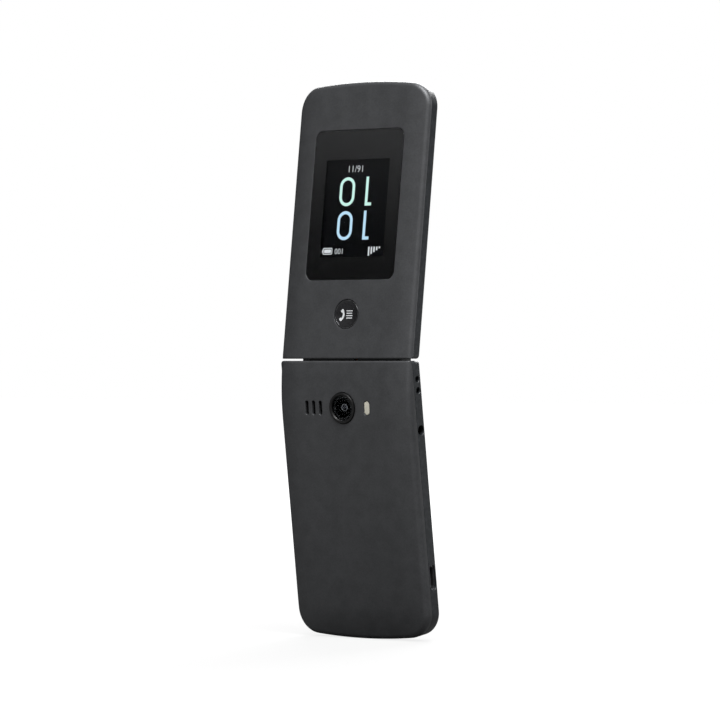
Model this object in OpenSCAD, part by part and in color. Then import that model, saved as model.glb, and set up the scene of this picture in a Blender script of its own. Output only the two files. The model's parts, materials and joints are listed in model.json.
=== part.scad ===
// Flip phone, open on its hinge and standing upright as it is photographed.
// +Z runs up the phone, the hinge axis lies along X, the keypad and the main
// screen face -Y and the outer display and the camera face +Y. The origin is
// the bottom centre of the whole phone's box.
//
// Each half is drawn in its own frame and then placed: x runs along the hinge
// axis, y runs from the axis to the half's far end, and z runs from the parting
// plane outwards, to the outer face. Both halves share the world's x.

/* [Phone] */
// Width across both halves
body_w = 57.8; // [55:0.2:64]
// Distance from the hinge axis to the far end of each half
half_len = 99.2; // [96:0.2:110]
// Angle between the halves at the open stop
open_angle = 165; // [158:1:170]
// Lean of the base half from upright
base_tilt = 7.8; // [6:0.1:9]
// Thickness of the base half
base_t = 9.1; // [8.8:0.1:11]
// Thickness of the lid half
lid_t = 6.4; // [6.3:0.1:8]
// Radius of the far corners, seen from the front
corner_r = 9; // [6:0.5:12]
// Radius of the crowned far ends
end_crown_r = 205; // [150:5:400]
// Radius of the corners beside the hinge
hinge_corner_r = 1.2; // [0.6:0.1:2]
// Radius of the edge round the outer faces
edge_r = 1.7; // [1.2:0.1:2]
// Width of the gentle shoulder along each long side
shoulder_w = 10; // [6:0.5:12]
// How far the shoulder falls at the side
shoulder_drop = 1.5; // [0.6:0.1:1.7]

/* [Base half] */
// Height of the keypad housing's side wall above the parting plane
base_split = 4.5; // [4.4:0.1:4.8]
// Fall of the back face at the hinge, where it bends
base_bend_drop = 2.6; // [1.5:0.1:2.8]
// Length of that bend
base_bend_len = 20; // [14:1:24]
// Fall of the back face at the far end
base_end_drop = 1.3; // [0.4:0.1:1.6]
// Length of that fall
base_end_len = 13; // [6:1:16]

/* [Lid half] */
// Height of the lid frame's side wall above the parting plane
lid_split = 3.6; // [3.5:0.1:3.8]

/* [Walls and gaps] */
// Side wall of the keypad housing and of the lid frame
side_wall = 1.5; // [1.2:0.1:1.7]
// Wall of the battery cover and of the lid cover
cover_wall = 1.1; // [0.9:0.05:1.2]
// Front plate of the keypad housing and of the lid frame
front_plate = 1.1; // [1:0.05:1.2]
// Distance from each rim to the parting plane
rim_gap = 0.2; // [0.15:0.05:0.3]
// Clearance between pieces that are assembled together
fit_gap = 0.05; // [0.04:0.01:0.08]
// Clearance round pieces that move
move_gap = 0.15; // [0.12:0.01:0.2]

/* [Hinge] */
// Radius of the hinge barrel
barrel_r = 3.9; // [3.6:0.1:4.1]
// Length of the hinge barrel
barrel_len = 42.2; // [38:0.2:46]
// Offset of the barrel's middle from the phone's middle
barrel_shift = -1.3; // [-2:0.1:2]
// Place of the seam between the two knuckles
seam_x = -3.6; // [-6:0.2:0]
// Width of the seam, which the flat cable passes through
seam_w = 2; // [1.6:0.1:2.4]
// Clearance between the barrel and the other half's pocket
pocket_gap = 0.35; // [0.3:0.05:0.5]
// Half of the gap between the two halves when open
end_gap = 0.35; // [0.3:0.05:0.5]
// Radius of the hinge shaft
shaft_r = 1; // [0.8:0.05:1.1]
// Running clearance of the shaft in the hinge module
shaft_gap = 0.05; // [0.03:0.01:0.08]
// Wall of the lid knuckle round the hinge module
knuckle_wall = 0.95; // [0.8:0.05:1.1]
// Wire diameter of the hinge spring
spring_wire = 0.5; // [0.4:0.05:0.6]
// Number of turns of the hinge spring
spring_turns = 8; // [5:1:10]

/* [Outer display] */
// Width of the outer window
outer_win_w = 39; // [36:0.5:42]
// Length of the outer window
outer_win_l = 54; // [48:0.5:58]
// Nearest edge of the outer window to the hinge axis
outer_win_u = 27.7; // [26:0.1:30]
// Corner radius of the outer window
outer_win_r = 3; // [1.5:0.5:5]
// Thickness of the outer window
outer_win_t = 0.8; // [0.6:0.05:0.85]
// Width of the lit area of the outer display
outer_lit_w = 28; // [24:0.5:30]
// Length of the lit area of the outer display
outer_lit_l = 35; // [30:0.5:38]
// Centre of the lit area from the hinge axis
outer_lit_u = 53.5; // [51:0.5:56]

/* [Outer key] */
// Radius of the round key on the lid
outer_key_r = 5.2; // [4.5:0.1:6]
// Centre of that key from the hinge axis
outer_key_u = 15.5; // [14:0.5:17]
// Depth of its dished face
outer_key_dish = 0.35; // [0.1:0.05:0.4]
// Travel of every key
key_travel = 0.25; // [0.2:0.01:0.28]

/* [Camera, flash and loudspeaker] */
// Radius of the camera ring
ring_r = 5.5; // [5:0.1:6]
// Height of the ring above the back face
ring_proud = 0.45; // [0.2:0.05:0.7]
// Distance of camera, flash and slots from the hinge axis
camera_u = 16; // [15.5:0.1:17]
// Radius of the lens barrel
lens_r = 3.2; // [2.8:0.1:3.3]
// Distance of the flash from the middle
flash_x = -10.7; // [-12:0.1:-9]
// Width of the flash lens
flash_w = 2.2; // [1.6:0.1:2.8]
// Length of the flash lens
flash_l = 4.8; // [4:0.1:5.5]
// Distance of the middle slot from the middle
slot_x = 12.75; // [12:0.05:14]
// Distance between two slots
slot_pitch = 3; // [2.6:0.1:3.2]
// Number of slots
slot_count = 3; // [2:1:3]
// Width of a slot
slot_w = 1.4; // [1:0.1:1.6]
// Length of a slot
slot_l = 5.1; // [4:0.1:6]
// Width of the loudspeaker
speaker_w = 11.5; // [10:0.5:12]
// Length of the loudspeaker
speaker_l = 14; // [12:0.5:15]

/* [Side openings] */
// Headphone socket from the hinge axis
jack_u = 24.6; // [24:0.1:25.5]
// Headphone socket from the parting plane
jack_v = 2.45; // [2.4:0.05:2.55]
// Radius of the headphone socket's bore
jack_r = 1.75; // [1.7:0.01:1.8]
// Depth of the headphone socket
jack_depth = 11; // [9:0.5:12]
// Charging socket from the hinge axis
usb_u = 77; // [75:0.5:79]
// Charging socket from the parting plane
usb_v = 2.5; // [2.45:0.05:2.55]
// Width of the charging socket's opening
usb_w = 8.9; // [8.7:0.1:9.2]
// Height of the charging socket's opening
usb_h = 3.2; // [3.1:0.05:3.25]
// First strap hole from the hinge axis
strap_u = 6.6; // [6.2:0.1:7]
// Distance between the two strap holes
strap_pitch = 4; // [3.6:0.1:4.4]
// Radius of a strap hole
strap_r = 1.1; // [0.8:0.1:1.2]

/* [Keypad] */
// Distance between the columns of number keys
key_pitch_x = 14.8; // [14.2:0.1:15]
// First row of number keys from the hinge axis
key_row_u = 54.5; // [54:0.1:56]
// Last row of number keys from the far end
keypad_end = 17.7; // [16:0.1:20]
// Gap between number keys side by side
key_gap_x = 1.6; // [1.4:0.1:2.4]
// Gap between the rows of number keys
key_gap_u = 1.7; // [1.5:0.1:2.4]
// Corner radius of the keys
key_r = 1.8; // [1:0.1:2.4]
// How far the keys stand above their deck
key_proud = 0.35; // [0.2:0.05:0.4]
// Depth of the deck below the rim
deck_depth = 0.5; // [0.45:0.05:0.6]
// Navigation ring from the hinge axis
nav_u = 38; // [37.5:0.1:38.5]
// Outer radius of the navigation ring
nav_r = 10.5; // [10:0.1:10.8]
// Radius of the key inside the ring
ok_r = 4.6; // [4:0.1:5]
// Side keys from the middle
side_key_x = 17.2; // [17:0.1:17.4]
// Width of a side key
side_key_w = 9.8; // [9:0.1:10]
// Length of a side key
side_key_l = 6.8; // [6:0.1:7.2]
// Distance between the upper and the lower side keys
side_key_pitch = 11; // [10:0.1:12]

/* [Main display] */
// Rim of the lid frame beside the main window
main_win_side = 3.4; // [3.2:0.1:4]
// Nearest edge of the main window to the hinge axis
main_win_u = 13; // [12.5:0.5:14]
// Rim of the lid frame past the main window's far edge
main_win_end = 13.2; // [12.5:0.1:16]
// Thickness of the main window
main_win_t = 0.7; // [0.5:0.05:0.75]
// Width of the lit area of the main display
main_lit_w = 43.2; // [40:0.2:44]
// Length of the lit area of the main display
main_lit_l = 57.6; // [54:0.2:60]

/* [Inside] */
// Thickness of the circuit boards
board_t = 0.8; // [0.6:0.1:0.8]
// Start of the battery bay from the hinge axis
bay_u = 41.6; // [41.4:0.1:43]
// Distance from the battery's bay to the far end
battery_end = 9.6; // [9.2:0.1:12]

/* [Hidden] */
$fn = 48;

// Colours
cover_grey = [0.15, 0.155, 0.165];
frame_dark = [0.07, 0.08, 0.09];
key_black = [0.05, 0.05, 0.055];
glass_black = [0.02, 0.02, 0.025];
metal = [0.6, 0.6, 0.62];
board_green = [0.05, 0.25, 0.15];
rubber_black = [0.09, 0.09, 0.09];
film_amber = [0.75, 0.5, 0.15];

// Where the hinge axis stands: the base's lower edge touches z = 0, and the
// camera ring and the base's far end are equally far from y = 0
lid_tilt = 180 - open_angle - base_tilt;
hinge_z = (half_len - edge_r) * cos(base_tilt)
    + (base_t - base_end_drop - edge_r) * sin(base_tilt) + edge_r;
ring_chamfer = 0.25;
ring_y = (base_t + ring_proud) * cos(base_tilt) - (camera_u - ring_r + ring_chamfer) * sin(base_tilt);
far_y = rim_gap * cos(base_tilt) - half_len * sin(base_tilt);
hinge_y = -(ring_y + far_y) / 2;

// Least height of a cover's side wall
least_side = 0.3;

// The two halves' shapes: thickness, bend, far end fall and tilt
BASE = [base_t, base_bend_drop, base_bend_len, base_end_drop, base_end_len, base_tilt];
LID = [lid_t, 0, 1, 0, 1, lid_tilt];

// Base levels, from the parting plane outwards
deck_v = rim_gap + deck_depth;
plate_in_v = rim_gap + front_plate;
key_top_v = deck_v - key_proud;
flange_v = plate_in_v + fit_gap;
flange_t = 0.3;
membrane_v = flange_v + flange_t + key_travel + fit_gap;
membrane_t = 0.3;
dome_h = 0.22;
dome_gap = 0.13;
film_t = 0.1;
board_v = membrane_v + membrane_t + dome_gap + dome_h + film_t;
board_top_v = board_v + board_t;
tray_v = board_top_v + 2 * fit_gap;
tray_t = 0.5;
can_t = 1.3;
bridge_v = board_top_v + can_t + 3 * fit_gap;
bridge_t = 0.6;
bridge_top_v = bridge_v + bridge_t;
battery_v = tray_v + tray_t + fit_gap;
battery_top_gap = 0.35;
camera_w = 2 * lens_r + 2;
camera_body_v = bridge_top_v + 0.3;
glass_t = 0.5;
glass_seat_r = ring_r - 1.15;
glass_seat_v = base_t + ring_proud - 0.95;
speaker_top_v = base_t - cover_wall - 1.6;
battery_t = base_t - cover_wall - battery_top_gap - battery_v;

// Lid levels, from the parting plane outwards
main_win_w = body_w - 2 * main_win_side;
main_win_l = half_len - main_win_u - main_win_end;
main_win_v = rim_gap + 2 * fit_gap;
frame_plate_in_v = rim_gap + front_plate + 0.2;
main_display_v = frame_plate_in_v + fit_gap;
main_display_t = 1.7;
lid_plate_v = main_display_v + main_display_t + fit_gap;
lid_plate_t = 0.25;
lid_board_v = lid_plate_v + lid_plate_t + fit_gap;
lid_board_t = 0.5;
lid_board_top_v = lid_board_v + lid_board_t;
lid_cover_in_v = lid_t - cover_wall;
outer_display_v = lid_board_top_v + fit_gap;
outer_display_t = lid_cover_in_v - fit_gap - outer_display_v;
outer_win_top_v = lid_t - fit_gap;
outer_win_v = outer_win_top_v - outer_win_t;
outer_flange_t = 0.35;
outer_flange_v = lid_cover_in_v - fit_gap - outer_flange_t;

// Clearance round electronic pieces
room_gap = 0.4;

// Barrel ends and knuckles along x
barrel_lo = barrel_shift - barrel_len / 2;
barrel_hi = barrel_shift + barrel_len / 2;
lid_knuckle_hi = seam_x - seam_w / 2;
base_knuckle_lo = seam_x + seam_w / 2;
pocket_r = barrel_r + pocket_gap;
web_len = pocket_r + side_wall;
knuckle_end_wall = 1.2;
module_r = barrel_r - knuckle_wall;
module_lo = barrel_lo + knuckle_end_wall + fit_gap;
module_hi = lid_knuckle_hi - 0.4;
module_wall = 0.5;
spring_r = module_r - module_wall - 0.2 - spring_wire / 2;
cam_w = 1.9;
cam_hi = module_hi - module_wall - 0.1;
base_bore_r = 2.4;
shaft_head_w = 3;
base_bore_hi = barrel_hi - knuckle_end_wall;
flex_r = 2.2;
flex_in_r = shaft_r + 0.3;
flex_t = 0.2;
flex_v = 1.6;
flex_room = 0.3;
flex_tail_x = 8;
flex_tail_w = 6;
flex_drop_u = web_len + 2.2;
lid_flex_w = seam_w - 0.6;

battery_l = half_len - bay_u - battery_end;

// Places of the screws, as [x, y] in a half's frame
screw_x = body_w / 2 - side_wall - 2.8;
base_screw_us = [web_len + 11.25, bay_u + 2.6, bay_u + battery_l];
lid_screw_us = [web_len + 3.85, half_len - 6];
base_screw_places = [for (u = base_screw_us) for (s = [-1, 1]) [s * screw_x, u]];
lid_screw_places = [for (u = lid_screw_us) for (s = [-1, 1]) [s * screw_x, u]];
bumper_places = [for (u = lid_screw_us) for (s = [-1, 1]) [s * (screw_x - 5), u]];
boss_r = 1.7;
lid_boss_r = 1.5;
cross_l = 1.6;
cross_w = 0.3;
cross_t = 0.3;
screw_shank_r = 0.6;
screw_head_r = 1.4;
screw_head_h = 0.7;
bumper_r = 1.5;
bumper_depth = 0.6;
lid_head_v = rim_gap + 0.3;
main_win_r = 2.5;

// Circuit boards, along y
board_x = screw_x - boss_r - 0.5;
board_lo = web_len + 0.6;
board_hi = bay_u + battery_l + 1;
lid_board_w = 2 * (screw_x - lid_boss_r - 0.1);
lid_board_lo = 9;
lid_board_hi = half_len - 20.2;

// Headphone socket and charging socket, along x
jack_x = -body_w / 2 + side_wall + fit_gap;
jack_in_x = jack_x + jack_depth;
jack_wall = 0.15;
jack_body_l = 2 * jack_r + 2;
jack_pocket_r = jack_r + jack_wall + 2 * fit_gap;
usb_x = -body_w / 2 + 0.6;
usb_in_x = -board_x - room_gap;
usb_shell_w = usb_w - 2 * fit_gap;
usb_shell_h = usb_h - 2 * fit_gap;
usb_wall = 0.25;
usb_tongue_w = 6.7;
usb_tongue_h = 0.7;
strap_room = 0.3;

// Battery's place and the walls of its tray
battery_lo = bay_u + 1.2;
tray_x = board_x - room_gap;
tray_wall = 0.7;
tray_side = tray_x - tray_wall;
battery_w = 2 * (tray_side - 0.3);
tray_front = 0.9;
contact_xs = [-4.5, 0, 4.5];
contact_w = 1.8;
tongue_w = 1;
contact_opening_w = 12.6;

// Pieces on the base's board: the shield cans and the card holder as opposite
// corners, and the vibration motor
can_hi = bay_u - 2.2;
can_boxes = [
    [[-11.3, camera_u + lens_r + 4.2], [4.1, can_hi]],
    [[9.6, camera_u + speaker_l / 2 + 3.3], [board_x - room_gap, can_hi]]
];
sim_box = [[-board_x + 0.6, jack_u + 5], [-13, bay_u - 1.4]];
sim_wall = 0.3;
motor_x = -16;
motor_r = 4;
motor_u = board_lo + motor_r + 2.25;

// Keypad: [name, x, y, width, length], with the number keys in rows of three
NUMBER_NAMES = ["key_1", "key_2", "key_3", "key_4", "key_5", "key_6",
    "key_7", "key_8", "key_9", "key_star", "key_0", "key_hash"];
key_pitch_u = (half_len - keypad_end - key_row_u) / 3;
key_w = key_pitch_x - key_gap_x;
key_l = key_pitch_u - key_gap_u;
number_keys = [for (i = [0:11])
    [NUMBER_NAMES[i], (i % 3 - 1) * key_pitch_x, key_row_u + floor(i / 3) * key_pitch_u, key_w, key_l]];
side_keys = [
    ["soft_left_key", -side_key_x, nav_u - side_key_pitch / 2, side_key_w, side_key_l],
    ["soft_right_key", side_key_x, nav_u - side_key_pitch / 2, side_key_w, side_key_l],
    ["call_key", -side_key_x, nav_u + side_key_pitch / 2, side_key_w, side_key_l],
    ["end_key", side_key_x, nav_u + side_key_pitch / 2, side_key_w, side_key_l]
];
flat_keys = concat(number_keys, side_keys);
key_flange = 0.45;
nav_arm_r = (nav_r + ok_r) / 2 + 0.3;
dome_places = concat(
    [for (k = flat_keys) [k[1], k[2]]],
    [[0, nav_u]],
    [for (a = [0:90:270]) [nav_arm_r * cos(a), nav_u + nav_arm_r * sin(a)]]
);
deck_margin = 1.3;
deck_corner_r = 4;
deck_x = side_key_x + side_key_w / 2 + deck_margin;
deck_lo = nav_u - nav_r - deck_margin;
deck_hi = key_row_u + 3 * key_pitch_u + key_l / 2 + deck_margin;

// Earpiece and microphone
earpiece_u = half_len - 6.4;
earpiece_w = 14;
earpiece_l = 5.6;
earpiece_slot_w = 10;
earpiece_slot_l = 1.4;
earpiece_t = 1.9;
mic_u = half_len - 6;
mic_r = 2;
mic_h = 1.2;
mic_hole_r = 0.5;
magnet = [6, 4, 1.2];
magnet_x = -17;

// ---------------------------------------------------------------- outlines

// Points along an arc, from angle a to angle b
function arc(c, r, a, b, n) = [for (i = [0:n]) let (t = a + (b - a) * i / n) c + r * [cos(t), sin(t)]];

// Right-hand side of a half's outline, drawn w inside it, from the hinge end to the far end
function outline_right(w, side_n) =
    let (
        hw = body_w / 2 - w,
        rc = corner_r - w,
        crown = end_crown_r - w,
        cu = half_len - end_crown_r,
        rh = max(hinge_corner_r - w, 0.2),
        xc = hw - rc,
        uc = cu + sqrt(pow(crown - rc, 2) - xc * xc),
        a1 = asin(xc / (crown - rc)),
        a2 = asin(2 / crown)
    )
    concat(
        arc([hw - rh, w + rh], rh, -90, 0, 4),
        [for (i = [1:1:side_n - 1]) [hw, w + rh + (uc - w - rh) * pow(i / side_n, 1.5)]],
        arc([xc, uc], rc, 0, 90 - a1, 9),
        [for (i = [1:5]) let (a = a1 + (a2 - a1) * i / 5) [crown * sin(a), cu + crown * cos(a)]]
    );

// The whole outline, anticlockwise
function outline(w) =
    let (right = outline_right(w, 1), n = len(right))
    concat(right, [for (i = [n - 1:-1:0]) [-right[i][0], right[i][1]]]);

// Shift along y that slants the end face beside the hinge, so both are level when open
function slant(u, v, tilt) = max(0, 1 - u / 10) * (end_gap - v * sin(tilt)) / cos(tilt);

// How deep the screw hole in a boss of the lid's cover reaches
function lid_boss_hole_v(p) = lid_cover_in_v - shoulder(p[0]) - 0.2;

// Falls of the outer face below its flat middle
function shoulder(x) = shoulder_drop * pow(max(abs(x) - (body_w / 2 - shoulder_w), 0) / shoulder_w, 2);
function bend(s, u) = s[1] * pow(max(1 - u / s[2], 0), 2);
function end_fall(s, u) = s[3] * pow(max(u - (half_len - s[4]), 0) / s[4], 2);
function round_fall(d, r) = d >= r ? 0 : r - sqrt(max(r * r - pow(r - max(d, 0), 2), 0));

// Distance from a point to the side and far edges of the outline drawn w inside
function edge_distance(x, u, w) =
    let (
        rc = corner_r - w,
        crown = end_crown_r - w,
        cu = half_len - end_crown_r,
        xc = body_w / 2 - w - rc,
        uc = cu + sqrt(pow(crown - rc, 2) - xc * xc)
    )
    abs(x) > xc && u > uc
        ? rc - norm([abs(x) - xc, u - uc])
        : min(body_w / 2 - w - abs(x), crown - norm([x, u - cu]));

// Height of a half's outer face, lowered by the wall w
function face_v(s, x, u, w) =
    s[0] - w - shoulder(x) - bend(s, u) - end_fall(s, u)
        - max(round_fall(edge_distance(x, u, w), max(edge_r - w, 0.3)), round_fall(u - w, 0.6));

// ---------------------------------------------------------------- solids

// Everything in a half, from floor_v up to its curved outer face
module pillow(s, w, floor_v) {
    rows = outline_right(w, 12);
    insets = [0, 0.25, 0.7, 1.7, 4, 7, 10.5];
    half = [for (i = insets) 1 - i / (body_w / 2)];
    cols = concat(half, [0], [for (i = [len(half) - 1:-1:0]) -half[i]]);
    nr = len(rows);
    nc = len(cols);
    top = [for (r = rows) for (c = cols)
        let (x = r[0] * c, u = r[1], v = max(face_v(s, x, u, w), floor_v + least_side))
            [x, u + slant(u, v, s[5]), v]];
    rim = concat(
        [for (i = [0:nr - 1]) i * nc],
        [for (j = [1:nc - 1]) (nr - 1) * nc + j],
        [for (i = [nr - 2:-1:0]) i * nc + nc - 1],
        [for (j = [nc - 2:-1:1]) j]
    );
    n = len(rim);
    low = [for (k = rim)
        let (r = rows[floor(k / nc)])
            [r[0] * cols[k % nc], r[1] + slant(r[1], floor_v, s[5]), floor_v]];
    base = len(top);
    polyhedron(
        points = concat(top, low, [[0, half_len / 2, floor_v]]),
        faces = concat(
            [for (i = [0:nr - 2]) for (j = [0:nc - 2]) [i * nc + j, (i + 1) * nc + j + 1, (i + 1) * nc + j]],
            [for (i = [0:nr - 2]) for (j = [0:nc - 2]) [i * nc + j, i * nc + j + 1, (i + 1) * nc + j + 1]],
            [for (k = [0:n - 1]) [rim[k], base + (k + 1) % n, base + k]],
            [for (k = [0:n - 1]) [rim[k], rim[(k + 1) % n], base + (k + 1) % n]],
            [for (k = [0:n - 1]) [base + n, base + k, base + (k + 1) % n]]
        ),
        convexity = 4
    );
}

// A slab with a half's outline, w inside it, its end face slanted as the outer face's is
module slab(w, v0, v1, tilt) {
    o = outline(w);
    n = len(o);
    polyhedron(
        points = concat(
            [for (p = o) [p[0], p[1] + slant(p[1], v0, tilt), v0]],
            [for (p = o) [p[0], p[1] + slant(p[1], v1, tilt), v1]]
        ),
        faces = concat(
            [[for (i = [0:n - 1]) i]],
            [[for (i = [n - 1:-1:0]) n + i]],
            [for (i = [0:n - 1]) [i, n + i, n + (i + 1) % n]],
            [for (i = [0:n - 1]) [i, n + (i + 1) % n, (i + 1) % n]]
        ),
        convexity = 4
    );
}

// A slab with straight walls, from distance u0 of the axis on
module inner_slab(w, u0, v0, v1) {
    translate([0, 0, v0]) linear_extrude(v1 - v0) intersection() {
        polygon(outline(w));
        translate([-body_w / 2, u0]) square([body_w, half_len]);
    }
}

// A box between two opposite corners
module span(a, b) {
    translate(a) cube(b - a);
}

// A round bar along x
module x_bar(x0, x1, r) {
    translate([x0, 0, 0]) rotate([0, 90, 0]) cylinder(h = x1 - x0, r = r);
}

// A rectangle with round corners, centred
module round_rect(w, l, r) {
    k = min(r, w / 2 - 0.01, l / 2 - 0.01);
    polygon(concat(
        arc([w / 2 - k, l / 2 - k], k, 0, 90, 6),
        arc([-w / 2 + k, l / 2 - k], k, 90, 180, 6),
        arc([-w / 2 + k, -l / 2 + k], k, 180, 270, 6),
        arc([w / 2 - k, -l / 2 + k], k, 270, 360, 6)
    ));
}

// A plate with round corners between two levels
module plate(x, u, w, l, r, v0, v1) {
    translate([x, u, v0]) linear_extrude(v1 - v0) round_rect(w, l, r);
}

// A disc between two levels
module disc(x, u, r, v0, v1) {
    translate([x, u, v0]) cylinder(h = v1 - v0, r = r);
}

// A wire wound on a circle, along x
module helix(x0, x1, r, wire, turns) {
    sides = 6;
    per_turn = 14;
    n = turns * per_turn;
    pts = [for (i = [0:n]) for (k = [0:sides - 1])
        let (a = 360 * i / per_turn, b = 360 * k / sides, q = r + wire / 2 * cos(b))
        [x0 + (x1 - x0) * i / n + wire / 2 * sin(b), q * cos(a), q * sin(a)]];
    polyhedron(
        points = pts,
        faces = concat(
            [for (i = [0:n - 1]) for (k = [0:sides - 1])
                [i * sides + k, i * sides + (k + 1) % sides, (i + 1) * sides + (k + 1) % sides]],
            [for (i = [0:n - 1]) for (k = [0:sides - 1])
                [i * sides + k, (i + 1) * sides + (k + 1) % sides, (i + 1) * sides + k]],
            [[for (k = [sides - 1:-1:0]) k]],
            [[for (k = [0:sides - 1]) n * sides + k]]
        ),
        convexity = 6
    );
}

// ---------------------------------------------------------------- placing

module place_base() {
    translate([0, hinge_y, hinge_z]) rotate([-90 - base_tilt, 0, 0]) children();
}

module place_lid() {
    translate([0, hinge_y, hinge_z]) rotate([90 + lid_tilt, 0, 0]) mirror([0, 0, 1]) children();
}

// ---------------------------------------------------------------- base half

// Room for the other half's knuckle, between two places along x
module knuckle_pocket(x0, x1, top_v) {
    x_bar(x0, x1, pocket_r);
    span([x0, -pocket_r, -pocket_r], [x1, pocket_r, top_v]);
}

// Opening for a key, k = [name, x, y, width, length]
module key_opening(k) {
    g = 2 * move_gap;
    plate(k[1], k[2], k[3] + g, k[4] + g, key_r + move_gap, 0, plate_in_v + 1);
}

// Room beside the board and the keypad's sheets for the headphone socket's body
module jack_room() {
    span([-body_w, jack_u - jack_body_l / 2 - room_gap, 0],
        [jack_in_x + room_gap, jack_u + jack_body_l / 2 + room_gap, base_t]);
}

// Room for the charging socket's shell, from level v0 to v1
module usb_room(v0, v1) {
    span([-body_w / 2 + side_wall - 0.1, usb_u - usb_shell_w / 2 - fit_gap, v0],
        [usb_in_x + fit_gap, usb_u + usb_shell_w / 2 + fit_gap, v1]);
}

// A round hole along x through the side wall at -x
module side_hole(u, v, r) {
    translate([-body_w / 2 - 1, u, v]) rotate([0, 90, 0]) cylinder(h = side_wall + 2, r = r);
}

// A stadium w long and h high, extruded along x from x0 to x1
module x_stadium(x0, x1, u, v, w, h) {
    translate([x0, u, v]) rotate([0, 90, 0]) rotate([0, 0, 90])
        linear_extrude(x1 - x0) round_rect(w, h, h / 2);
}

module base_front_housing() {
    strap_v = base_split / 2;
    inner_x = -body_w / 2 + side_wall;
    color(frame_dark) place_base() difference() {
        union() {
            difference() {
                slab(0, rim_gap, base_split, base_tilt);
                inner_slab(side_wall, web_len, plate_in_v, base_split + 1);
                knuckle_pocket(barrel_lo - pocket_gap, barrel_hi, base_split + 1);
            }
            x_bar(base_knuckle_lo, barrel_hi, barrel_r);
            span([base_knuckle_lo, 0, rim_gap], [barrel_hi, web_len, barrel_r]);
            for (p = base_screw_places) disc(p[0], p[1], boss_r, plate_in_v - 0.01, tray_v - fit_gap);
        }
        // the keypad's deck and its openings
        plate(0, (deck_lo + deck_hi) / 2, 2 * deck_x, deck_hi - deck_lo, deck_corner_r, -1, deck_v);
        for (k = flat_keys) key_opening(k);
        disc(0, nav_u, nav_r + move_gap, 0, plate_in_v + 1);
        // the barrel's bore, which holds the shaft and the flat cable, and the cable's way in
        x_bar(base_knuckle_lo - 1, base_bore_hi, base_bore_r);
        span([flex_tail_x - flex_room, 0, flex_v - flex_room],
            [flex_tail_x + flex_tail_w + flex_room, web_len + 1, flex_v + flex_t + flex_room]);
        // the headphone socket, the charging socket and the two strap holes
        side_hole(jack_u, jack_v, jack_r);
        translate([inner_x - 0.1, jack_u, jack_v]) rotate([0, 90, 0])
            cylinder(h = jack_depth + 1, r = jack_pocket_r);
        x_stadium(-body_w / 2 - 1, inner_x, usb_u, usb_v, usb_w, usb_h);
        usb_room(usb_v - usb_shell_h / 2 - fit_gap, base_split + 1);
        for (i = [0, 1]) side_hole(strap_u + i * strap_pitch, strap_v, strap_r);
        span([inner_x, strap_u - strap_r - strap_room, strap_v - strap_r],
            [inner_x + side_wall, strap_u + strap_pitch + strap_r + strap_room, strap_v + strap_r]);
        disc(0, mic_u, mic_hole_r, 0, plate_in_v + 1);
        for (p = base_screw_places) disc(p[0], p[1], screw_shank_r + fit_gap, plate_in_v, tray_v + 1);
    }
}

module mid_frame() {
    w = side_wall + 0.2;
    color(rubber_black) place_base() difference() {
        union() {
            // the bridge over the board
            inner_slab(w, web_len + 0.3, bridge_v, bridge_top_v);
            // the battery's tray and its walls
            inner_slab(w, bay_u, tray_v, tray_v + tray_t);
            span([-tray_x, bay_u, tray_v], [tray_x, bay_u + tray_front, bridge_top_v]);
            for (x = [-tray_x, tray_side])
                span([x, bay_u, tray_v], [x + tray_wall, battery_lo + battery_l, battery_v + battery_t / 2]);
            // posts that carry the bridge
            for (p = base_screw_places) if (p[1] < bay_u) disc(p[0], p[1], boss_r, tray_v, bridge_v + 0.01);
        }
        // past the bay's start the bridge gives way to the battery
        span([-tray_side, bay_u + tray_front, tray_v + tray_t], [tray_side, half_len, base_t]);
        for (x = [-body_w, tray_x])
            span([x, bay_u + tray_front, tray_v + tray_t], [x + body_w - tray_x, half_len, base_t]);
        // openings for the camera, the loudspeaker, the contacts and the charging socket
        plate(0, camera_u, camera_w + 1, camera_w + 1, 0.6, bridge_v - 1, bridge_top_v + 1);
        plate(slot_x, camera_u, speaker_w + room_gap, speaker_l + room_gap, 1.2,
            bridge_v - 1, bridge_top_v + 1);
        span([-contact_opening_w / 2, bay_u - 1, tray_v + tray_t],
            [contact_opening_w / 2, bay_u + tray_front + 0.1, bridge_v]);
        usb_room(tray_v - 1, base_t);
        for (p = base_screw_places) disc(p[0], p[1], screw_shank_r + fit_gap, 0, base_t);
    }
}

module main_board() {
    color(board_green) place_base() difference() {
        plate(0, (board_lo + board_hi) / 2, 2 * board_x, board_hi - board_lo, 1.2, board_v, board_top_v);
        jack_room();
    }
}

module shield_cans() {
    color(metal) place_base() for (b = can_boxes) {
        c = (b[0] + b[1]) / 2;
        d = b[1] - b[0];
        plate(c[0], c[1], d[0], d[1], 0.6, board_top_v, board_top_v + can_t);
    }
}

module battery() {
    color([0.12, 0.12, 0.13]) place_base()
        plate(0, battery_lo + battery_l / 2, battery_w, battery_l, 1.5, battery_v, battery_v + battery_t);
}

module battery_contacts() {
    color(metal) place_base() for (x = contact_xs) {
        span([x - contact_w / 2, bay_u - 0.8, board_top_v],
            [x + contact_w / 2, bay_u - fit_gap, bridge_v - 0.3]);
        span([x - tongue_w / 2, bay_u - 0.1, tray_v + tray_t + 0.1],
            [x + tongue_w / 2, battery_lo - 0.1, bridge_v - 0.4]);
    }
}

module camera_module() {
    lens_v = base_t - 0.9;
    color(key_black) place_base() {
        plate(0, camera_u, camera_w, camera_w, 0.5, board_top_v, camera_body_v);
        difference() {
            disc(0, camera_u, lens_r, camera_body_v - 0.1, lens_v);
            disc(0, camera_u, lens_r * 0.55, lens_v - 0.7, base_t);
        }
    }
}

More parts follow.
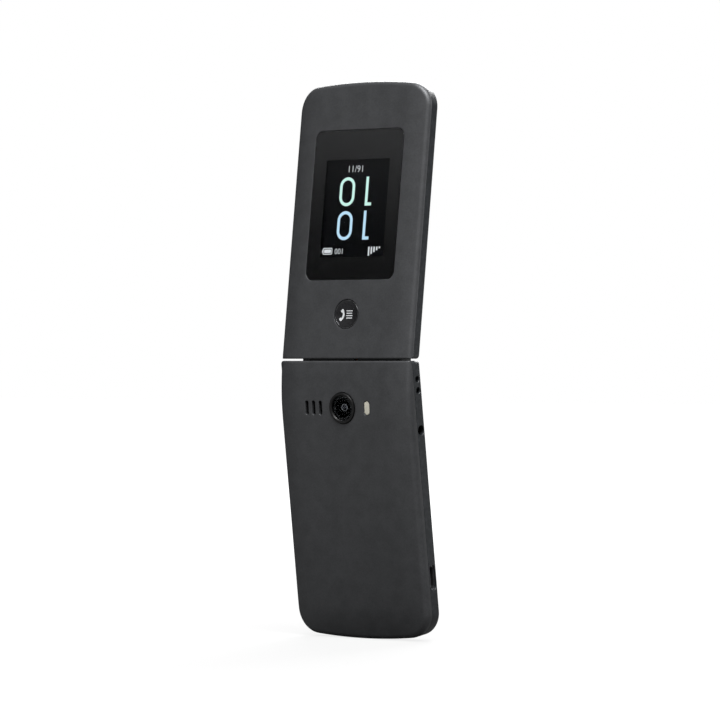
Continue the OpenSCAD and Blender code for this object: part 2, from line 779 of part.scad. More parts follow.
module camera_ring() {
    top_v = base_t + ring_proud;
    foot_v = camera_body_v + 0.1;
    color(key_black) place_base() translate([0, camera_u, 0]) rotate_extrude() polygon([
        [lens_r + 0.2, foot_v],
        [ring_r - 0.9, foot_v],
        [ring_r - 0.9, foot_v + 0.5],
        [ring_r, foot_v + 0.5],
        [ring_r, top_v - ring_chamfer],
        [ring_r - ring_chamfer, top_v],
        [glass_seat_r + 0.4, top_v],
        [glass_seat_r, top_v - 0.35],
        [glass_seat_r, glass_seat_v],
        [lens_r + 0.2, glass_seat_v]
    ]);
}

module camera_glass() {
    color(glass_black) place_base()
        disc(0, camera_u, glass_seat_r - fit_gap, glass_seat_v + fit_gap, glass_seat_v + fit_gap + glass_t);
}

module flash_lens() {
    // its top stays below the back face, which falls toward the hinge
    top_v = base_t - bend(BASE, camera_u - flash_l / 2);
    color([0.93, 0.92, 0.85]) place_base()
        plate(flash_x, camera_u, flash_w, flash_l, flash_w / 2, bridge_top_v + fit_gap, top_v);
}

module loudspeaker() {
    color(metal) place_base()
        plate(slot_x, camera_u, speaker_w, speaker_l, 1, board_top_v + fit_gap, speaker_top_v);
}

module speaker_mesh() {
    w = slot_pitch * (slot_count - 1) + slot_w + 1.4;
    l = slot_l + 1.6;
    top_v = base_t - cover_wall - bend(BASE, camera_u - l / 2) - 0.2;
    color(key_black) place_base() plate(slot_x, camera_u, w, l, 0.8, speaker_top_v + fit_gap, top_v);
}

module headphone_jack() {
    color(key_black) place_base() difference() {
        union() {
            translate([jack_x, jack_u, jack_v]) rotate([0, 90, 0])
                cylinder(h = jack_depth, r = jack_r + jack_wall);
            span([jack_x + jack_depth / 2, jack_u - jack_body_l / 2, jack_v - 1],
                [jack_in_x, jack_u + jack_body_l / 2, jack_v + 1.2]);
        }
        translate([jack_x - 1, jack_u, jack_v]) rotate([0, 90, 0]) cylinder(h = jack_depth, r = jack_r);
    }
}

module usb_port() {
    color(metal) place_base() {
        difference() {
            x_stadium(usb_x, usb_in_x, usb_u, usb_v, usb_shell_w, usb_shell_h);
            x_stadium(usb_x - 1, usb_in_x - 0.6, usb_u, usb_v,
                usb_shell_w - 2 * usb_wall, usb_shell_h - 2 * usb_wall);
        }
        span([usb_x + 0.8, usb_u - usb_tongue_w / 2, usb_v - usb_tongue_h / 2],
            [usb_in_x - 0.5, usb_u + usb_tongue_w / 2, usb_v + usb_tongue_h / 2]);
    }
}

module microphone() {
    color(metal) place_base() disc(0, mic_u, mic_r, plate_in_v + fit_gap, plate_in_v + fit_gap + mic_h);
}

module vibration_motor() {
    color(metal) place_base() disc(motor_x, motor_u, motor_r, board_top_v, board_top_v + can_t);
}

module sim_holder() {
    a = sim_box[0];
    b = sim_box[1];
    color(metal) place_base() difference() {
        span([a[0], a[1], board_top_v], [b[0], b[1], board_top_v + can_t]);
        // the card slides in from the battery bay
        span([a[0] + 2 * sim_wall, a[1] + 2 * sim_wall, board_top_v + sim_wall],
            [b[0] - 2 * sim_wall, b[1] + 1, board_top_v + can_t - sim_wall]);
    }
}

// A sheet behind the keypad, cut away round the headphone socket
module keypad_sheet(v0, v1) {
    difference() {
        plate(0, (deck_lo + deck_hi) / 2, 2 * board_x, deck_hi - deck_lo - 1, 1.5, v0, v1);
        jack_room();
    }
}

module keypad_membrane() {
    color([0.2, 0.2, 0.21]) place_base() keypad_sheet(membrane_v, membrane_v + membrane_t);
}

module dome_sheet() {
    color(metal) place_base() {
        keypad_sheet(board_v - film_t, board_v);
        for (p = dome_places) translate([p[0], p[1], board_v - film_t - dome_h])
            cylinder(h = dome_h + 0.01, r1 = 0.9, r2 = 2.1);
    }
}

// A screw at p, from the top of its head to its tip
module screw(p, top_v, tip_v) {
    translate([p[0], p[1], top_v]) mirror([0, 0, tip_v < top_v ? 1 : 0]) {
        difference() {
            cylinder(h = screw_head_h, r = screw_head_r);
            for (a = [0, 90]) rotate([0, 0, a])
                translate([-cross_l / 2, -cross_w / 2, -1]) cube([cross_l, cross_w, 1 + cross_t]);
        }
        translate([0, 0, screw_head_h - 0.01])
            cylinder(h = abs(tip_v - top_v) - screw_head_h + 0.01, r = screw_shank_r);
    }
}

module base_screws() {
    color(metal) place_base() for (p = base_screw_places)
        screw(p, (p[1] < bay_u ? bridge_top_v : tray_v + tray_t) + screw_head_h, plate_in_v + 0.2);
}

module battery_cover() {
    slots = [for (i = [0:slot_count - 1]) slot_x + (i - (slot_count - 1) / 2) * slot_pitch];
    color(cover_grey) place_base() difference() {
        pillow(BASE, 0, base_split + fit_gap);
        pillow(BASE, cover_wall, base_split - 1);
        x_bar(barrel_lo - pocket_gap, barrel_hi + pocket_gap, pocket_r);
        disc(0, camera_u, ring_r + move_gap, base_split, base_t + 1);
        plate(flash_x, camera_u, flash_w + 2 * move_gap, flash_l + 2 * move_gap, flash_w,
            base_split, base_t + 1);
        for (x = slots) plate(x, camera_u, slot_w, slot_l, slot_w / 2, base_split, base_t + 1);
    }
}

// ---------------------------------------------------------------- keys

module flat_key(k) {
    color(key_black) place_base() {
        plate(k[1], k[2], k[3], k[4], key_r, key_top_v, flange_v + 0.01);
        plate(k[1], k[2], k[3] + 2 * key_flange, k[4] + 2 * key_flange, key_r, flange_v, flange_v + flange_t);
    }
}

module named_key(name) {
    for (k = flat_keys) if (k[0] == name) flat_key(k);
}

module key_1() { named_key("key_1"); }
module key_2() { named_key("key_2"); }
module key_3() { named_key("key_3"); }
module key_4() { named_key("key_4"); }
module key_5() { named_key("key_5"); }
module key_6() { named_key("key_6"); }
module key_7() { named_key("key_7"); }
module key_8() { named_key("key_8"); }
module key_9() { named_key("key_9"); }
module key_star() { named_key("key_star"); }
module key_0() { named_key("key_0"); }
module key_hash() { named_key("key_hash"); }
module soft_left_key() { named_key("soft_left_key"); }
module soft_right_key() { named_key("soft_right_key"); }
module call_key() { named_key("call_key"); }
module end_key() { named_key("end_key"); }

module nav_ring() {
    color(metal) place_base() difference() {
        union() {
            disc(0, nav_u, nav_r, key_top_v, flange_v + 0.01);
            disc(0, nav_u, nav_r + key_flange, flange_v, flange_v + flange_t);
        }
        disc(0, nav_u, ok_r + move_gap, 0, flange_v);
        disc(0, nav_u, ok_r + key_flange + 2 * move_gap, flange_v - 0.3, flange_v + 1);
    }
}

module ok_key() {
    color(key_black) place_base() {
        disc(0, nav_u, ok_r, key_top_v, flange_v + 0.01);
        disc(0, nav_u, ok_r + key_flange, flange_v, flange_v + flange_t);
    }
}

module outer_key() {
    dish_r = (pow(outer_key_r - 0.4, 2) + pow(outer_key_dish, 2)) / (2 * outer_key_dish);
    top_v = lid_t - fit_gap;
    color(key_black) place_lid() difference() {
        union() {
            disc(0, outer_key_u, outer_key_r, outer_flange_v, top_v);
            disc(0, outer_key_u, outer_key_r + 0.5, outer_flange_v, outer_flange_v + outer_flange_t);
        }
        translate([0, outer_key_u, top_v - outer_key_dish + dish_r]) sphere(r = dish_r, $fn = 96);
    }
}

// ---------------------------------------------------------------- lid half

module lid_inner_frame() {
    window_u = main_win_u + main_win_l / 2;
    color(frame_dark) place_lid() difference() {
        union() {
            difference() {
                slab(0, rim_gap, lid_split, lid_tilt);
                inner_slab(side_wall, web_len, frame_plate_in_v, lid_split + 1);
                knuckle_pocket(barrel_lo, barrel_hi + pocket_gap, lid_split + 1);
            }
            x_bar(barrel_lo, lid_knuckle_hi, barrel_r);
            span([barrel_lo, 0, rim_gap], [lid_knuckle_hi, web_len, lid_split]);
        }
        // the main window's seat and the display's opening
        plate(0, window_u, main_win_w + 2 * fit_gap, main_win_l + 2 * fit_gap, main_win_r,
            -1, main_win_v + main_win_t + fit_gap);
        plate(0, window_u, main_lit_w + 1.6, main_lit_l + 1.6, 0.8, 0, frame_plate_in_v + 1);
        // the earpiece's slot
        plate(0, earpiece_u, earpiece_slot_w, earpiece_slot_l, earpiece_slot_l / 2, -1, frame_plate_in_v + 1);
        // the barrel's bore, which holds the hinge module, and the flat cable's way in
        x_bar(barrel_lo + knuckle_end_wall, lid_knuckle_hi + 1, module_r + fit_gap);
        span([seam_x - lid_flex_w / 2 - flex_room, pocket_r - 1, flex_v - flex_room],
            [seam_x + lid_flex_w / 2 + flex_room, web_len + 1, flex_v + flex_t + flex_room]);
        for (p = lid_screw_places) {
            disc(p[0], p[1], screw_head_r + 0.2, -1, lid_head_v + screw_head_h);
            disc(p[0], p[1], screw_shank_r + 0.1, 0, frame_plate_in_v + 1);
        }
        for (p = bumper_places) disc(p[0], p[1], bumper_r + fit_gap, -1, rim_gap + bumper_depth);
    }
}

module lid_outer_cover() {
    color(cover_grey) place_lid() difference() {
        union() {
            difference() {
                pillow(LID, 0, lid_split + fit_gap);
                pillow(LID, cover_wall, lid_split - 1);
            }
            for (p = lid_screw_places)
                disc(p[0], p[1], lid_boss_r, lid_split + fit_gap, lid_cover_in_v - shoulder(p[0]) + 0.2);
        }
        x_bar(barrel_lo - pocket_gap, barrel_hi + pocket_gap, pocket_r);
        plate(0, outer_win_u + outer_win_l / 2, outer_win_w + 2 * fit_gap, outer_win_l + 2 * fit_gap,
            outer_win_r + fit_gap, outer_win_v - fit_gap, lid_t + 1);
        plate(0, outer_lit_u, outer_lit_w + 1, outer_lit_l + 1, 0.6, lid_split, lid_t + 1);
        disc(0, outer_key_u, outer_key_r + move_gap, lid_split, lid_t + 1);
        for (p = lid_screw_places) disc(p[0], p[1], screw_shank_r + fit_gap, 0, lid_boss_hole_v(p));
    }
}

module outer_window() {
    color(glass_black) place_lid() plate(0, outer_win_u + outer_win_l / 2, outer_win_w, outer_win_l,
        outer_win_r, outer_win_v, outer_win_top_v);
}

module outer_display() {
    color([0.03, 0.05, 0.08]) place_lid() plate(0, outer_lit_u, outer_lit_w + 3, outer_lit_l + 5, 0.5,
        outer_display_v, outer_display_v + outer_display_t);
}

module outer_key_dome() {
    color(metal) place_lid() translate([0, outer_key_u, lid_board_top_v])
        cylinder(h = outer_flange_v - key_travel - fit_gap - lid_board_top_v, r1 = 2.6, r2 = 1.1);
}

// A flat sheet across the lid, as its board and its stiffening plate are
module lid_sheet(v0, v1) {
    plate(0, (lid_board_lo + lid_board_hi) / 2, lid_board_w, lid_board_hi - lid_board_lo, 1.2, v0, v1);
}

module lid_board() {
    color(board_green) place_lid() lid_sheet(lid_board_v, lid_board_top_v);
}

module lid_plate() {
    color(metal) place_lid() lid_sheet(lid_plate_v, lid_plate_v + lid_plate_t);
}

module main_window() {
    color(glass_black) place_lid() plate(0, main_win_u + main_win_l / 2, main_win_w, main_win_l,
        main_win_r - fit_gap, main_win_v, main_win_v + main_win_t);
}

module main_display() {
    color([0.03, 0.05, 0.08]) place_lid() plate(0, main_win_u + main_win_l / 2, main_lit_w + 3,
        main_lit_l + 8, 0.6, main_display_v, main_display_v + main_display_t);
}

module earpiece() {
    color(metal) place_lid()
        plate(0, earpiece_u, earpiece_w, earpiece_l, 1.2, main_display_v, main_display_v + earpiece_t);
}

module earpiece_mesh() {
    w = earpiece_slot_w - 2 * fit_gap;
    l = earpiece_slot_l - 2 * fit_gap;
    color(key_black) place_lid() plate(0, earpiece_u, w, l, l / 2, rim_gap + 0.4, frame_plate_in_v);
}

module lid_screws() {
    color(metal) place_lid() for (p = lid_screw_places) screw(p, lid_head_v, lid_boss_hole_v(p) - 0.2);
}

module lid_bumpers() {
    color(rubber_black) place_lid() for (p = bumper_places)
        disc(p[0], p[1], bumper_r, -rim_gap + 0.02, rim_gap + bumper_depth - fit_gap);
}

module lid_magnet() {
    color(metal) place_lid()
        plate(magnet_x, earpiece_u, magnet[0], magnet[1], 0.3, main_display_v, main_display_v + magnet[2]);
}

// ---------------------------------------------------------------- hinge

module hinge_module() {
    color(metal) place_lid() difference() {
        x_bar(module_lo, module_hi, module_r);
        x_bar(module_lo + module_wall, module_hi - module_wall, module_r - module_wall);
        x_bar(module_hi - module_wall - 1, module_hi + 1, shaft_r + shaft_gap);
    }
}

module hinge_spring() {
    color(metal) place_lid() helix(module_lo + module_wall + spring_wire / 2 + 0.1,
        cam_hi - cam_w - spring_wire / 2 - 0.1, spring_r, spring_wire, spring_turns);
}

module hinge_shaft() {
    color(metal) place_base() {
        x_bar(module_lo + module_wall + 0.6, base_bore_hi - 0.1, shaft_r);
        x_bar(cam_hi - cam_w, cam_hi, module_r - module_wall - 0.1);
        x_bar(base_bore_hi - shaft_head_w, base_bore_hi - fit_gap, base_bore_r - fit_gap);
    }
}

// The flat cable where it is wound round the hinge shaft
module flex_roll(x0, x1) {
    difference() {
        x_bar(x0, x1, flex_r);
        x_bar(x0 - 1, x1 + 1, flex_in_r);
    }
}

module hinge_flex() {
    x0 = base_knuckle_lo + 0.2;
    x1 = flex_tail_x + flex_tail_w;
    color(film_amber) place_base() {
        flex_roll(x0, x1);
        span([flex_tail_x, flex_in_r + 0.1, flex_v], [x1, flex_drop_u, flex_v + flex_t]);
        span([flex_tail_x, flex_drop_u - flex_t, flex_v], [x1, flex_drop_u, board_v]);
    }
}

module lid_flex() {
    x0 = seam_x - lid_flex_w / 2;
    x1 = seam_x + lid_flex_w / 2;
    end_u = lid_board_lo + 0.35;
    color(film_amber) place_lid() {
        flex_roll(x0, x1);
        span([x0, flex_in_r + 0.1, flex_v], [x1, end_u, flex_v + flex_t]);
        span([x0, end_u - flex_t, flex_v], [x1, end_u, lid_plate_v - 0.02]);
    }
}

// ---------------------------------------------------------------- output

base_front_housing();
mid_frame();
main_board();
shield_cans();
battery();
battery_contacts();
camera_module();
camera_ring();
camera_glass();
flash_lens();
loudspeaker();
speaker_mesh();
headphone_jack();
usb_port();
microphone();
vibration_motor();
sim_holder();
keypad_membrane();
dome_sheet();
base_screws();
hinge_flex();
hinge_shaft();
battery_cover();
lid_inner_frame();
lid_outer_cover();
outer_window();
outer_display();
outer_key_dome();
lid_board();
lid_plate();
main_window();
main_display();
earpiece();
earpiece_mesh();
lid_screws();
lid_bumpers();
lid_magnet();
lid_flex();
hinge_module();
hinge_spring();
outer_key();
nav_ring();
ok_key();
soft_left_key();
soft_right_key();
call_key();
end_key();
key_1();
key_2();
key_3();
key_4();
key_5();
key_6();
key_7();
key_8();
key_9();
key_star();
key_0();
key_hash();
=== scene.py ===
"""Visual model of a flip phone that stands open on its hinge.

Each half of the phone has its own frame: x runs along the hinge axis, u from the axis to
the half's far end, and v from the parting plane out to the outer face. Sizes are in
millimetres in those frames, and a half places its points in the world in metres.
"""
import json
import logging
import math
from dataclasses import dataclass
from enum import Enum
from functools import lru_cache
from typing import Callable, Sequence

import bmesh
import bpy
import numpy as np
from mathutils import Matrix, Vector
from mathutils.geometry import delaunay_2d_cdt


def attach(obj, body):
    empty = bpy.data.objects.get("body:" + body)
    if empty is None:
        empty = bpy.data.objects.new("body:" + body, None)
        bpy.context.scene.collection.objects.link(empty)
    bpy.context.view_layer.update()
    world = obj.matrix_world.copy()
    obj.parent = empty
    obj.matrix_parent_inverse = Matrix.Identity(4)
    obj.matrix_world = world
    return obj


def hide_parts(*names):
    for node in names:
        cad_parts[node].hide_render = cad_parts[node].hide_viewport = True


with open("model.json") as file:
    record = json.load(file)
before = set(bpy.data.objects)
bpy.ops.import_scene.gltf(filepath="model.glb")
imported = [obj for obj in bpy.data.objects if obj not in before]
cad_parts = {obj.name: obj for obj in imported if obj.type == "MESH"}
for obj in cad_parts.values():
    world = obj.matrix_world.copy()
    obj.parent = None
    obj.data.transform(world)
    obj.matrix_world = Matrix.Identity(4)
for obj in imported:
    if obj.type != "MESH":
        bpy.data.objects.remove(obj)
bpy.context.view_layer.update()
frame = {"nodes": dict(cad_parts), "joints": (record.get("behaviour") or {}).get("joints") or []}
LOG = logging.getLogger("flip_phone")
MM = 0.001
FLAT_EDGE = 0.06  # a pad stays flat from this far inside its fillet
SCREW_X, BUMPER_X = 24.6, 19.6
LID_ROWS = (9.6, 93.2)  # places along u of the lid's screws and bumpers
CAMERA_U, SPEAKER_X, FLASH_X = 16.0, 12.75, -10.7
OUTER_KEY_U, OUTER_SCREEN_U, MAIN_SCREEN_U, EARPIECE_U = 15.5, 53.5, 49.5, 92.8
NAV_U, MICROPHONE_U = 38.0, 93.2
JACK_U, JACK_V = 24.6, 2.45
TURNED_OUTSIDE, ON_KEYS, ON_SCREEN = (1, -1, 1), (1, -1, -1), (1, 1, -1)  # a reader's right, up and near
Ring = list[int]
Faces = list[tuple[int, ...]]
Path = Sequence[tuple[float, float]]
Triple = tuple[float, float, float]
Colour = tuple[float, float, float, float]
Height = float | Callable[[np.ndarray, np.ndarray], np.ndarray]
Piece = bpy.types.Object
Node = bpy.types.Node
Socket = bpy.types.NodeSocket
Tree = bpy.types.NodeTree


# ------------------------------------------------------------------ the two halves


@dataclass(frozen=True)
class Half:
    """Form and place of one half of the phone."""

    body: str
    along: int
    tilt: float
    hinge_y: float
    hinge_z: float
    thickness: float
    split: float
    bend_drop: float = 0.0
    bend_len: float = 1.0
    end_drop: float = 0.0
    end_len: float = 1.0
    width: float = 57.8
    length: float = 99.2
    corner_r: float = 9.0
    crown_r: float = 205.0
    hinge_corner_r: float = 1.2
    edge_r: float = 1.7
    shoulder_w: float = 10.0
    shoulder_drop: float = 1.5
    end_gap: float = 0.35
    rim_gap: float = 0.2
    fit_gap: float = 0.05

    def place(self, points: np.ndarray) -> np.ndarray:
        """Puts points of this half's frame into the world.

        Args:
            points: rows of x, u and v in millimetres.

        Returns:
            Rows of x, y and z in metres.
        """
        x, u, v = points.T
        sine, cosine = math.sin(self.tilt), math.cos(self.tilt)
        y = self.hinge_y - u * sine + v * cosine
        z = self.hinge_z + self.along * (u * cosine + v * sine)
        return np.stack([x, y, z], -1) * MM

    def outward(self) -> Vector:
        """The direction of v in the world."""
        return Vector((0, math.cos(self.tilt), self.along * math.sin(self.tilt)))

    def down(self) -> Vector:
        """The direction of u in the world."""
        return Vector((0, -math.sin(self.tilt), self.along * math.cos(self.tilt)))

    def lean(self, points: np.ndarray) -> np.ndarray:
        """Slants the end beside the hinge, so that both halves' ends are level when open.

        Args:
            points: rows of x, u and v in millimetres.

        Returns:
            The same points with u moved near the hinge.
        """
        out = points.copy()
        shift = (self.end_gap - out[:, 2] * math.sin(self.tilt)) / math.cos(self.tilt)
        out[:, 1] += np.maximum(0, 1 - out[:, 1] / 10) * shift
        return out

    def outline(self, inset: float, start: float | None = None) -> np.ndarray:
        """The outline seen from the front, as a closed run of points.

        Args:
            inset: distance inside the outline.
            start: where the run begins along u, if not at the inset.

        Returns:
            Rows of x and u, anticlockwise from the middle of the hinge end.
        """
        start = inset if start is None else start
        half_w = self.width / 2 - inset
        corner = max(self.corner_r - inset, 0.3)
        crown = self.crown_r - inset
        centre_u = self.length - self.crown_r
        hinge = max(self.hinge_corner_r - inset, 0.2)
        corner_x = half_w - corner
        corner_u = centre_u + math.sqrt((crown - corner) ** 2 - corner_x**2)
        turn = math.asin(corner_x / (crown - corner))
        run: list[tuple[float, float]] = []
        for i in range(24):
            run.append(((half_w - hinge) * i / 24, start))
        for i in range(7):
            a = math.radians(-90 + 90 * i / 6)
            run.append((half_w - hinge + hinge * math.cos(a), start + hinge + hinge * math.sin(a)))
        low = start + hinge
        for i in range(1, 66):
            run.append((half_w, low + (corner_u - low) * (i / 66) ** 1.25))
        for i in range(22):
            a = (math.pi / 2 - turn) * i / 21
            run.append((corner_x + corner * math.cos(a), corner_u + corner * math.sin(a)))
        for i in range(1, 20):
            a = turn * (1 - i / 20)
            run.append((crown * math.sin(a), centre_u + crown * math.cos(a)))
        right = np.array(run)
        left = right[:0:-1] * [-1, 1]
        top = np.array([[0, centre_u + crown]])
        return np.concatenate([right, top, left])

    def edge_distance(self, x: np.ndarray, u: np.ndarray, inset: float) -> np.ndarray:
        """Distance of points to the side and far edges of the outline at an inset.

        Args:
            x: places along the hinge axis.
            u: places from the hinge to the far end.
            inset: how far inside the outline that edge is.

        Returns:
            The distance at each place.
        """
        corner = self.corner_r - inset
        crown = self.crown_r - inset
        centre_u = self.length - self.crown_r
        corner_x = self.width / 2 - inset - corner
        corner_u = centre_u + math.sqrt((crown - corner) ** 2 - corner_x**2)
        over = np.abs(x) - corner_x
        near = np.minimum(self.width / 2 - inset - np.abs(x), crown - np.hypot(x, u - centre_u))
        return np.where((over > 0) & (u > corner_u), corner - np.hypot(over, u - corner_u), near)

    def face(self, x: np.ndarray, u: np.ndarray, inset: float = 0.0) -> np.ndarray:
        """Height of the outer face.

        Args:
            x: places along the hinge axis.
            u: places from the hinge to the far end.
            inset: wall thickness by which the face is lowered.

        Returns:
            The face's v at each place.
        """
        over = np.maximum(np.abs(x) - (self.width / 2 - self.shoulder_w), 0) / self.shoulder_w
        fall = self.shoulder_drop * over**2
        fall = fall + self.bend_drop * np.maximum(1 - u / self.bend_len, 0) ** 2
        past = np.maximum(u - (self.length - self.end_len), 0) / self.end_len
        fall = fall + self.end_drop * past**2
        edge = self.edge_distance(x, u, inset)
        fall = fall + np.maximum(
            rounded(edge, max(self.edge_r - inset, 0.3)), rounded(u - inset, 0.6)
        )
        top = self.thickness - inset - fall
        floor = self.split + self.fit_gap + 0.3 if inset == 0 else self.split - 0.7
        return (top + floor + np.sqrt((top - floor) ** 2 + 0.01)) / 2


def rounded(distance: np.ndarray, radius: float) -> np.ndarray:
    """Fall of a rounded edge at a distance from it."""
    inside = np.clip(radius - np.maximum(distance, 0), 0, radius)
    return radius - np.sqrt(radius**2 - inside**2)


def quarter(radius: float, count: int, first: int = 0) -> list[tuple[float, float]]:
    """Steps round a quarter turn, as a fillet has them.

    Args:
        radius: the fillet's radius.
        count: number of steps in the quarter.
        first: the first step that is given.

    Returns:
        For each step, radius times (1 - cosine), and radius times (1 - sine).
    """
    turns = [math.pi / 2 * i / count for i in range(first, count + 1)]
    return [(radius * (1 - math.cos(a)), radius * (1 - math.sin(a))) for a in turns]


# ------------------------------------------------------------------ contours


@dataclass(frozen=True)
class RoundRect:
    """A rectangle with round corners, centred at x and u."""

    x: float
    u: float
    w: float
    l: float
    r: float
    arc: int = 8
    step: float = 1.5

    def at(self, inset: float) -> np.ndarray:
        """The contour drawn inside by the inset, or outside where that is negative.

        Args:
            inset: distance inside the contour, less than 0 for outside.

        Returns:
            Rows of x and u, anticlockwise.
        """
        half_w, half_l = self.w / 2 - inset, self.l / 2 - inset
        k = min(max(self.r - inset, 0.04), half_w - 0.005, half_l - 0.005)
        nx = max(1, round((self.w - 2 * self.r) / self.step))
        nu = max(1, round((self.l - 2 * self.r) / self.step))
        run: list[tuple[float, float]] = []
        corners = ((1, 1, 0, nx), (-1, 1, 90, nu), (-1, -1, 180, nx), (1, -1, 270, nu))
        for sx, su, start, count in corners:
            cx, cu = sx * (half_w - k), su * (half_l - k)
            for i in range(self.arc + 1):
                a = math.radians(start + 90 * i / self.arc)
                run.append((cx + k * math.cos(a), cu + k * math.sin(a)))
            ex, eu = (-cx, cu) if start in (0, 180) else (cx, -cu)
            a = math.radians(start + 90)
            px, pu = run[-1]
            qx, qu = ex + k * math.cos(a), eu + k * math.sin(a)
            for i in range(1, count):
                run.append((px + (qx - px) * i / count, pu + (qu - pu) * i / count))
        return np.array(run) + [self.x, self.u]


@dataclass(frozen=True)
class Circle:
    """A circle centred at x and u."""

    x: float
    u: float
    r: float
    count: int = 48

    def at(self, inset: float) -> np.ndarray:
        """The circle drawn inside by the inset, or outside where that is negative.

        Args:
            inset: distance inside the contour, less than 0 for outside.

        Returns:
            Rows of x and u, anticlockwise.
        """
        a = np.linspace(0, 2 * math.pi, self.count, endpoint=False)
        r = max(self.r - inset, 0.01)
        return np.stack([self.x + r * np.cos(a), self.u + r * np.sin(a)], -1)


Contour = RoundRect | Circle


def inside(points: np.ndarray, loop: np.ndarray) -> np.ndarray:
    """Which points lie inside a closed loop.

    Args:
        points: rows of x and u.
        loop: the loop, as rows of x and u.

    Returns:
        True for each point inside it.
    """
    px, py = points[:, :1], points[:, 1:2]
    ax, ay = loop[:, 0], loop[:, 1]
    bx, by = np.roll(ax, -1), np.roll(ay, -1)
    crosses = (ay > py) != (by > py)
    rise = np.where(by == ay, 1e-12, by - ay)
    return (crosses & (px < ax + (py - ay) / rise * (bx - ax))).sum(1) % 2 == 1


def loop_distance(points: np.ndarray, loop: np.ndarray) -> np.ndarray:
    """Distance of points to a closed loop's sides.

    Args:
        points: rows of x and u.
        loop: the loop, as rows of x and u.

    Returns:
        Each point's distance.
    """
    a, b = loop, np.roll(loop, -1, 0)
    side = b - a
    size = np.maximum((side**2).sum(1), 1e-12)
    best = np.full(len(points), np.inf)
    for start in range(0, len(points), 2000):
        part = points[start : start + 2000, None, :]
        t = np.clip(((part - a) * side).sum(2) / size, 0, 1)
        gap = part - (a + t[..., None] * side)
        best[start : start + 2000] = np.sqrt((gap**2).sum(2)).min(1)
    return best


# ------------------------------------------------------------------ drafting meshes


def belt(one: Sequence[int], other: Sequence[int]) -> Faces:
    """The faces between two rings of equal length."""
    n = len(one)
    return [(one[i], one[(i + 1) % n], other[(i + 1) % n], other[i]) for i in range(n)]


class Skin:
    """A closed surface drafted ring by ring in a half's frame, and then placed."""

    def __init__(self, half: Half) -> None:
        """Starts an empty draft for a half."""
        self.half = half
        self.points: list[Triple] = []
        self.faces: Faces = []
        self.rim: list[float] = []

    def ring(self, loop: np.ndarray, v: Height, rim: float = 0.0) -> Ring:
        """Adds a loop of points.

        Args:
            loop: rows of x and u.
            v: the loop's height, or a function that gives it.
            rim: how much edge wear these points carry, from 0 to 1.

        Returns:
            The indices of the new points.
        """
        heights = v(loop[:, 0], loop[:, 1]) if callable(v) else np.full(len(loop), float(v))
        first = len(self.points)
        self.points += [(x, u, h) for (x, u), h in zip(loop.tolist(), heights.tolist())]
        self.rim += [rim] * len(loop)
        return list(range(first, len(self.points)))

    def bridge(self, one: Ring, other: Ring) -> Ring:
        """Joins two rings of equal length with a band, and returns the second."""
        self.faces += belt(one, other)
        return other

    def run(self, rings: Sequence[Ring]) -> Ring:
        """Joins rings one after another, and returns the last.

        Args:
            rings: rings of equal length.

        Returns:
            The last ring.
        """
        for one, other in zip(rings, rings[1:]):
            self.bridge(one, other)
        return rings[-1]

    def fill(self, outer: Ring, holes: Sequence[Ring], v: Height, step: float) -> None:
        """Closes the face between a ring and its holes.

        Args:
            outer: the ring round the face.
            holes: rings that stay open in it.
            v: the face's height, or a function that gives it.
            step: distance between the points inside the face.
        """
        loops = [np.array([self.points[i][:2] for i in ring]) for ring in (outer, *holes)]
        low, high = loops[0].min(0), loops[0].max(0)
        n_x = max(1, int((high[0] - low[0]) / step))
        n_u = max(1, int((high[1] - low[1]) / step))
        gx, gu = np.meshgrid(
            np.linspace(low[0], high[0], n_x + 1), np.linspace(low[1], high[1], n_u + 1)
        )
        grid = np.stack([gx.ravel(), gu.ravel()], -1)
        keep = inside(grid, loops[0]) & (loop_distance(grid, loops[0]) > step * 0.45)
        for hole in loops[1:]:
            keep &= ~inside(grid, hole) & (loop_distance(grid, hole) > step * 0.45)
        grid = grid[keep]
        ids = [i for ring in (outer, *holes) for i in ring]
        edges, first = [], 0
        for ring in (outer, *holes):
            n = len(ring)
            edges += [(first + i, first + (i + 1) % n) for i in range(n)]
            first += n
        ids += self.ring(grid, v) if len(grid) else []
        flat = np.concatenate([*loops, grid])
        made = delaunay_2d_cdt([Vector(p) for p in flat.tolist()], edges, [], 1, 1e-7)
        origin = [source[0] if source else -1 for source in made[3]]
        faces = [tuple(ids[origin[i]] for i in face) for face in made[2]]
        middle = np.array([np.mean([made[0][i][:] for i in face], 0) for face in made[2]])
        out = np.zeros(len(faces), bool)
        for hole in loops[1:]:
            out |= inside(middle, hole)
        self.faces += [f for f, drop in zip(faces, out) if not drop]

    def lip(self, contour: Contour, v: Height, radius: float, count: int = 4) -> list[Ring]:
        """Rings of a rounded lip round an opening, from the face down to its wall.

        Args:
            contour: the opening.
            v: the height of the face round it.
            radius: the lip's radius.
            count: number of steps round the lip.

        Returns:
            The rings, of which the first lies in the face.
        """
        rings = []
        for i, (drop, reach) in enumerate(quarter(radius, count)):
            rings.append(self.ring(contour.at(-reach), lowered(v, drop), i / count))
        self.run(rings)
        return rings

    def build(self, name: str, lean: bool = False, angle: float = 35.0) -> Piece:
        """Makes the drafted surface an object in the world.

        Args:
            name: the object's name.
            lean: whether the end beside the hinge is slanted.
            angle: edges sharper than this many degrees stay sharp.

        Returns:
            The new object, at the origin.
        """
        points = np.array(self.points)
        points = self.half.lean(points) if lean else points
        mesh = Shop.mesh(self.half, name, points, self.faces)
        mesh.attributes.new("rim", "FLOAT", "POINT").data.foreach_set("value", self.rim)
        return Shop.smooth(Shop.outward(Shop.add(name, mesh)), angle)


def lowered(v: Height, drop: float) -> Height:
    """A height, or a function of one, lowered by a drop.

    Args:
        v: the height.
        drop: how far it is lowered.

    Returns:
        The lowered height, of the same kind.
    """
    if callable(v):
        return lambda x, u: v(x, u) - drop
    return v - drop


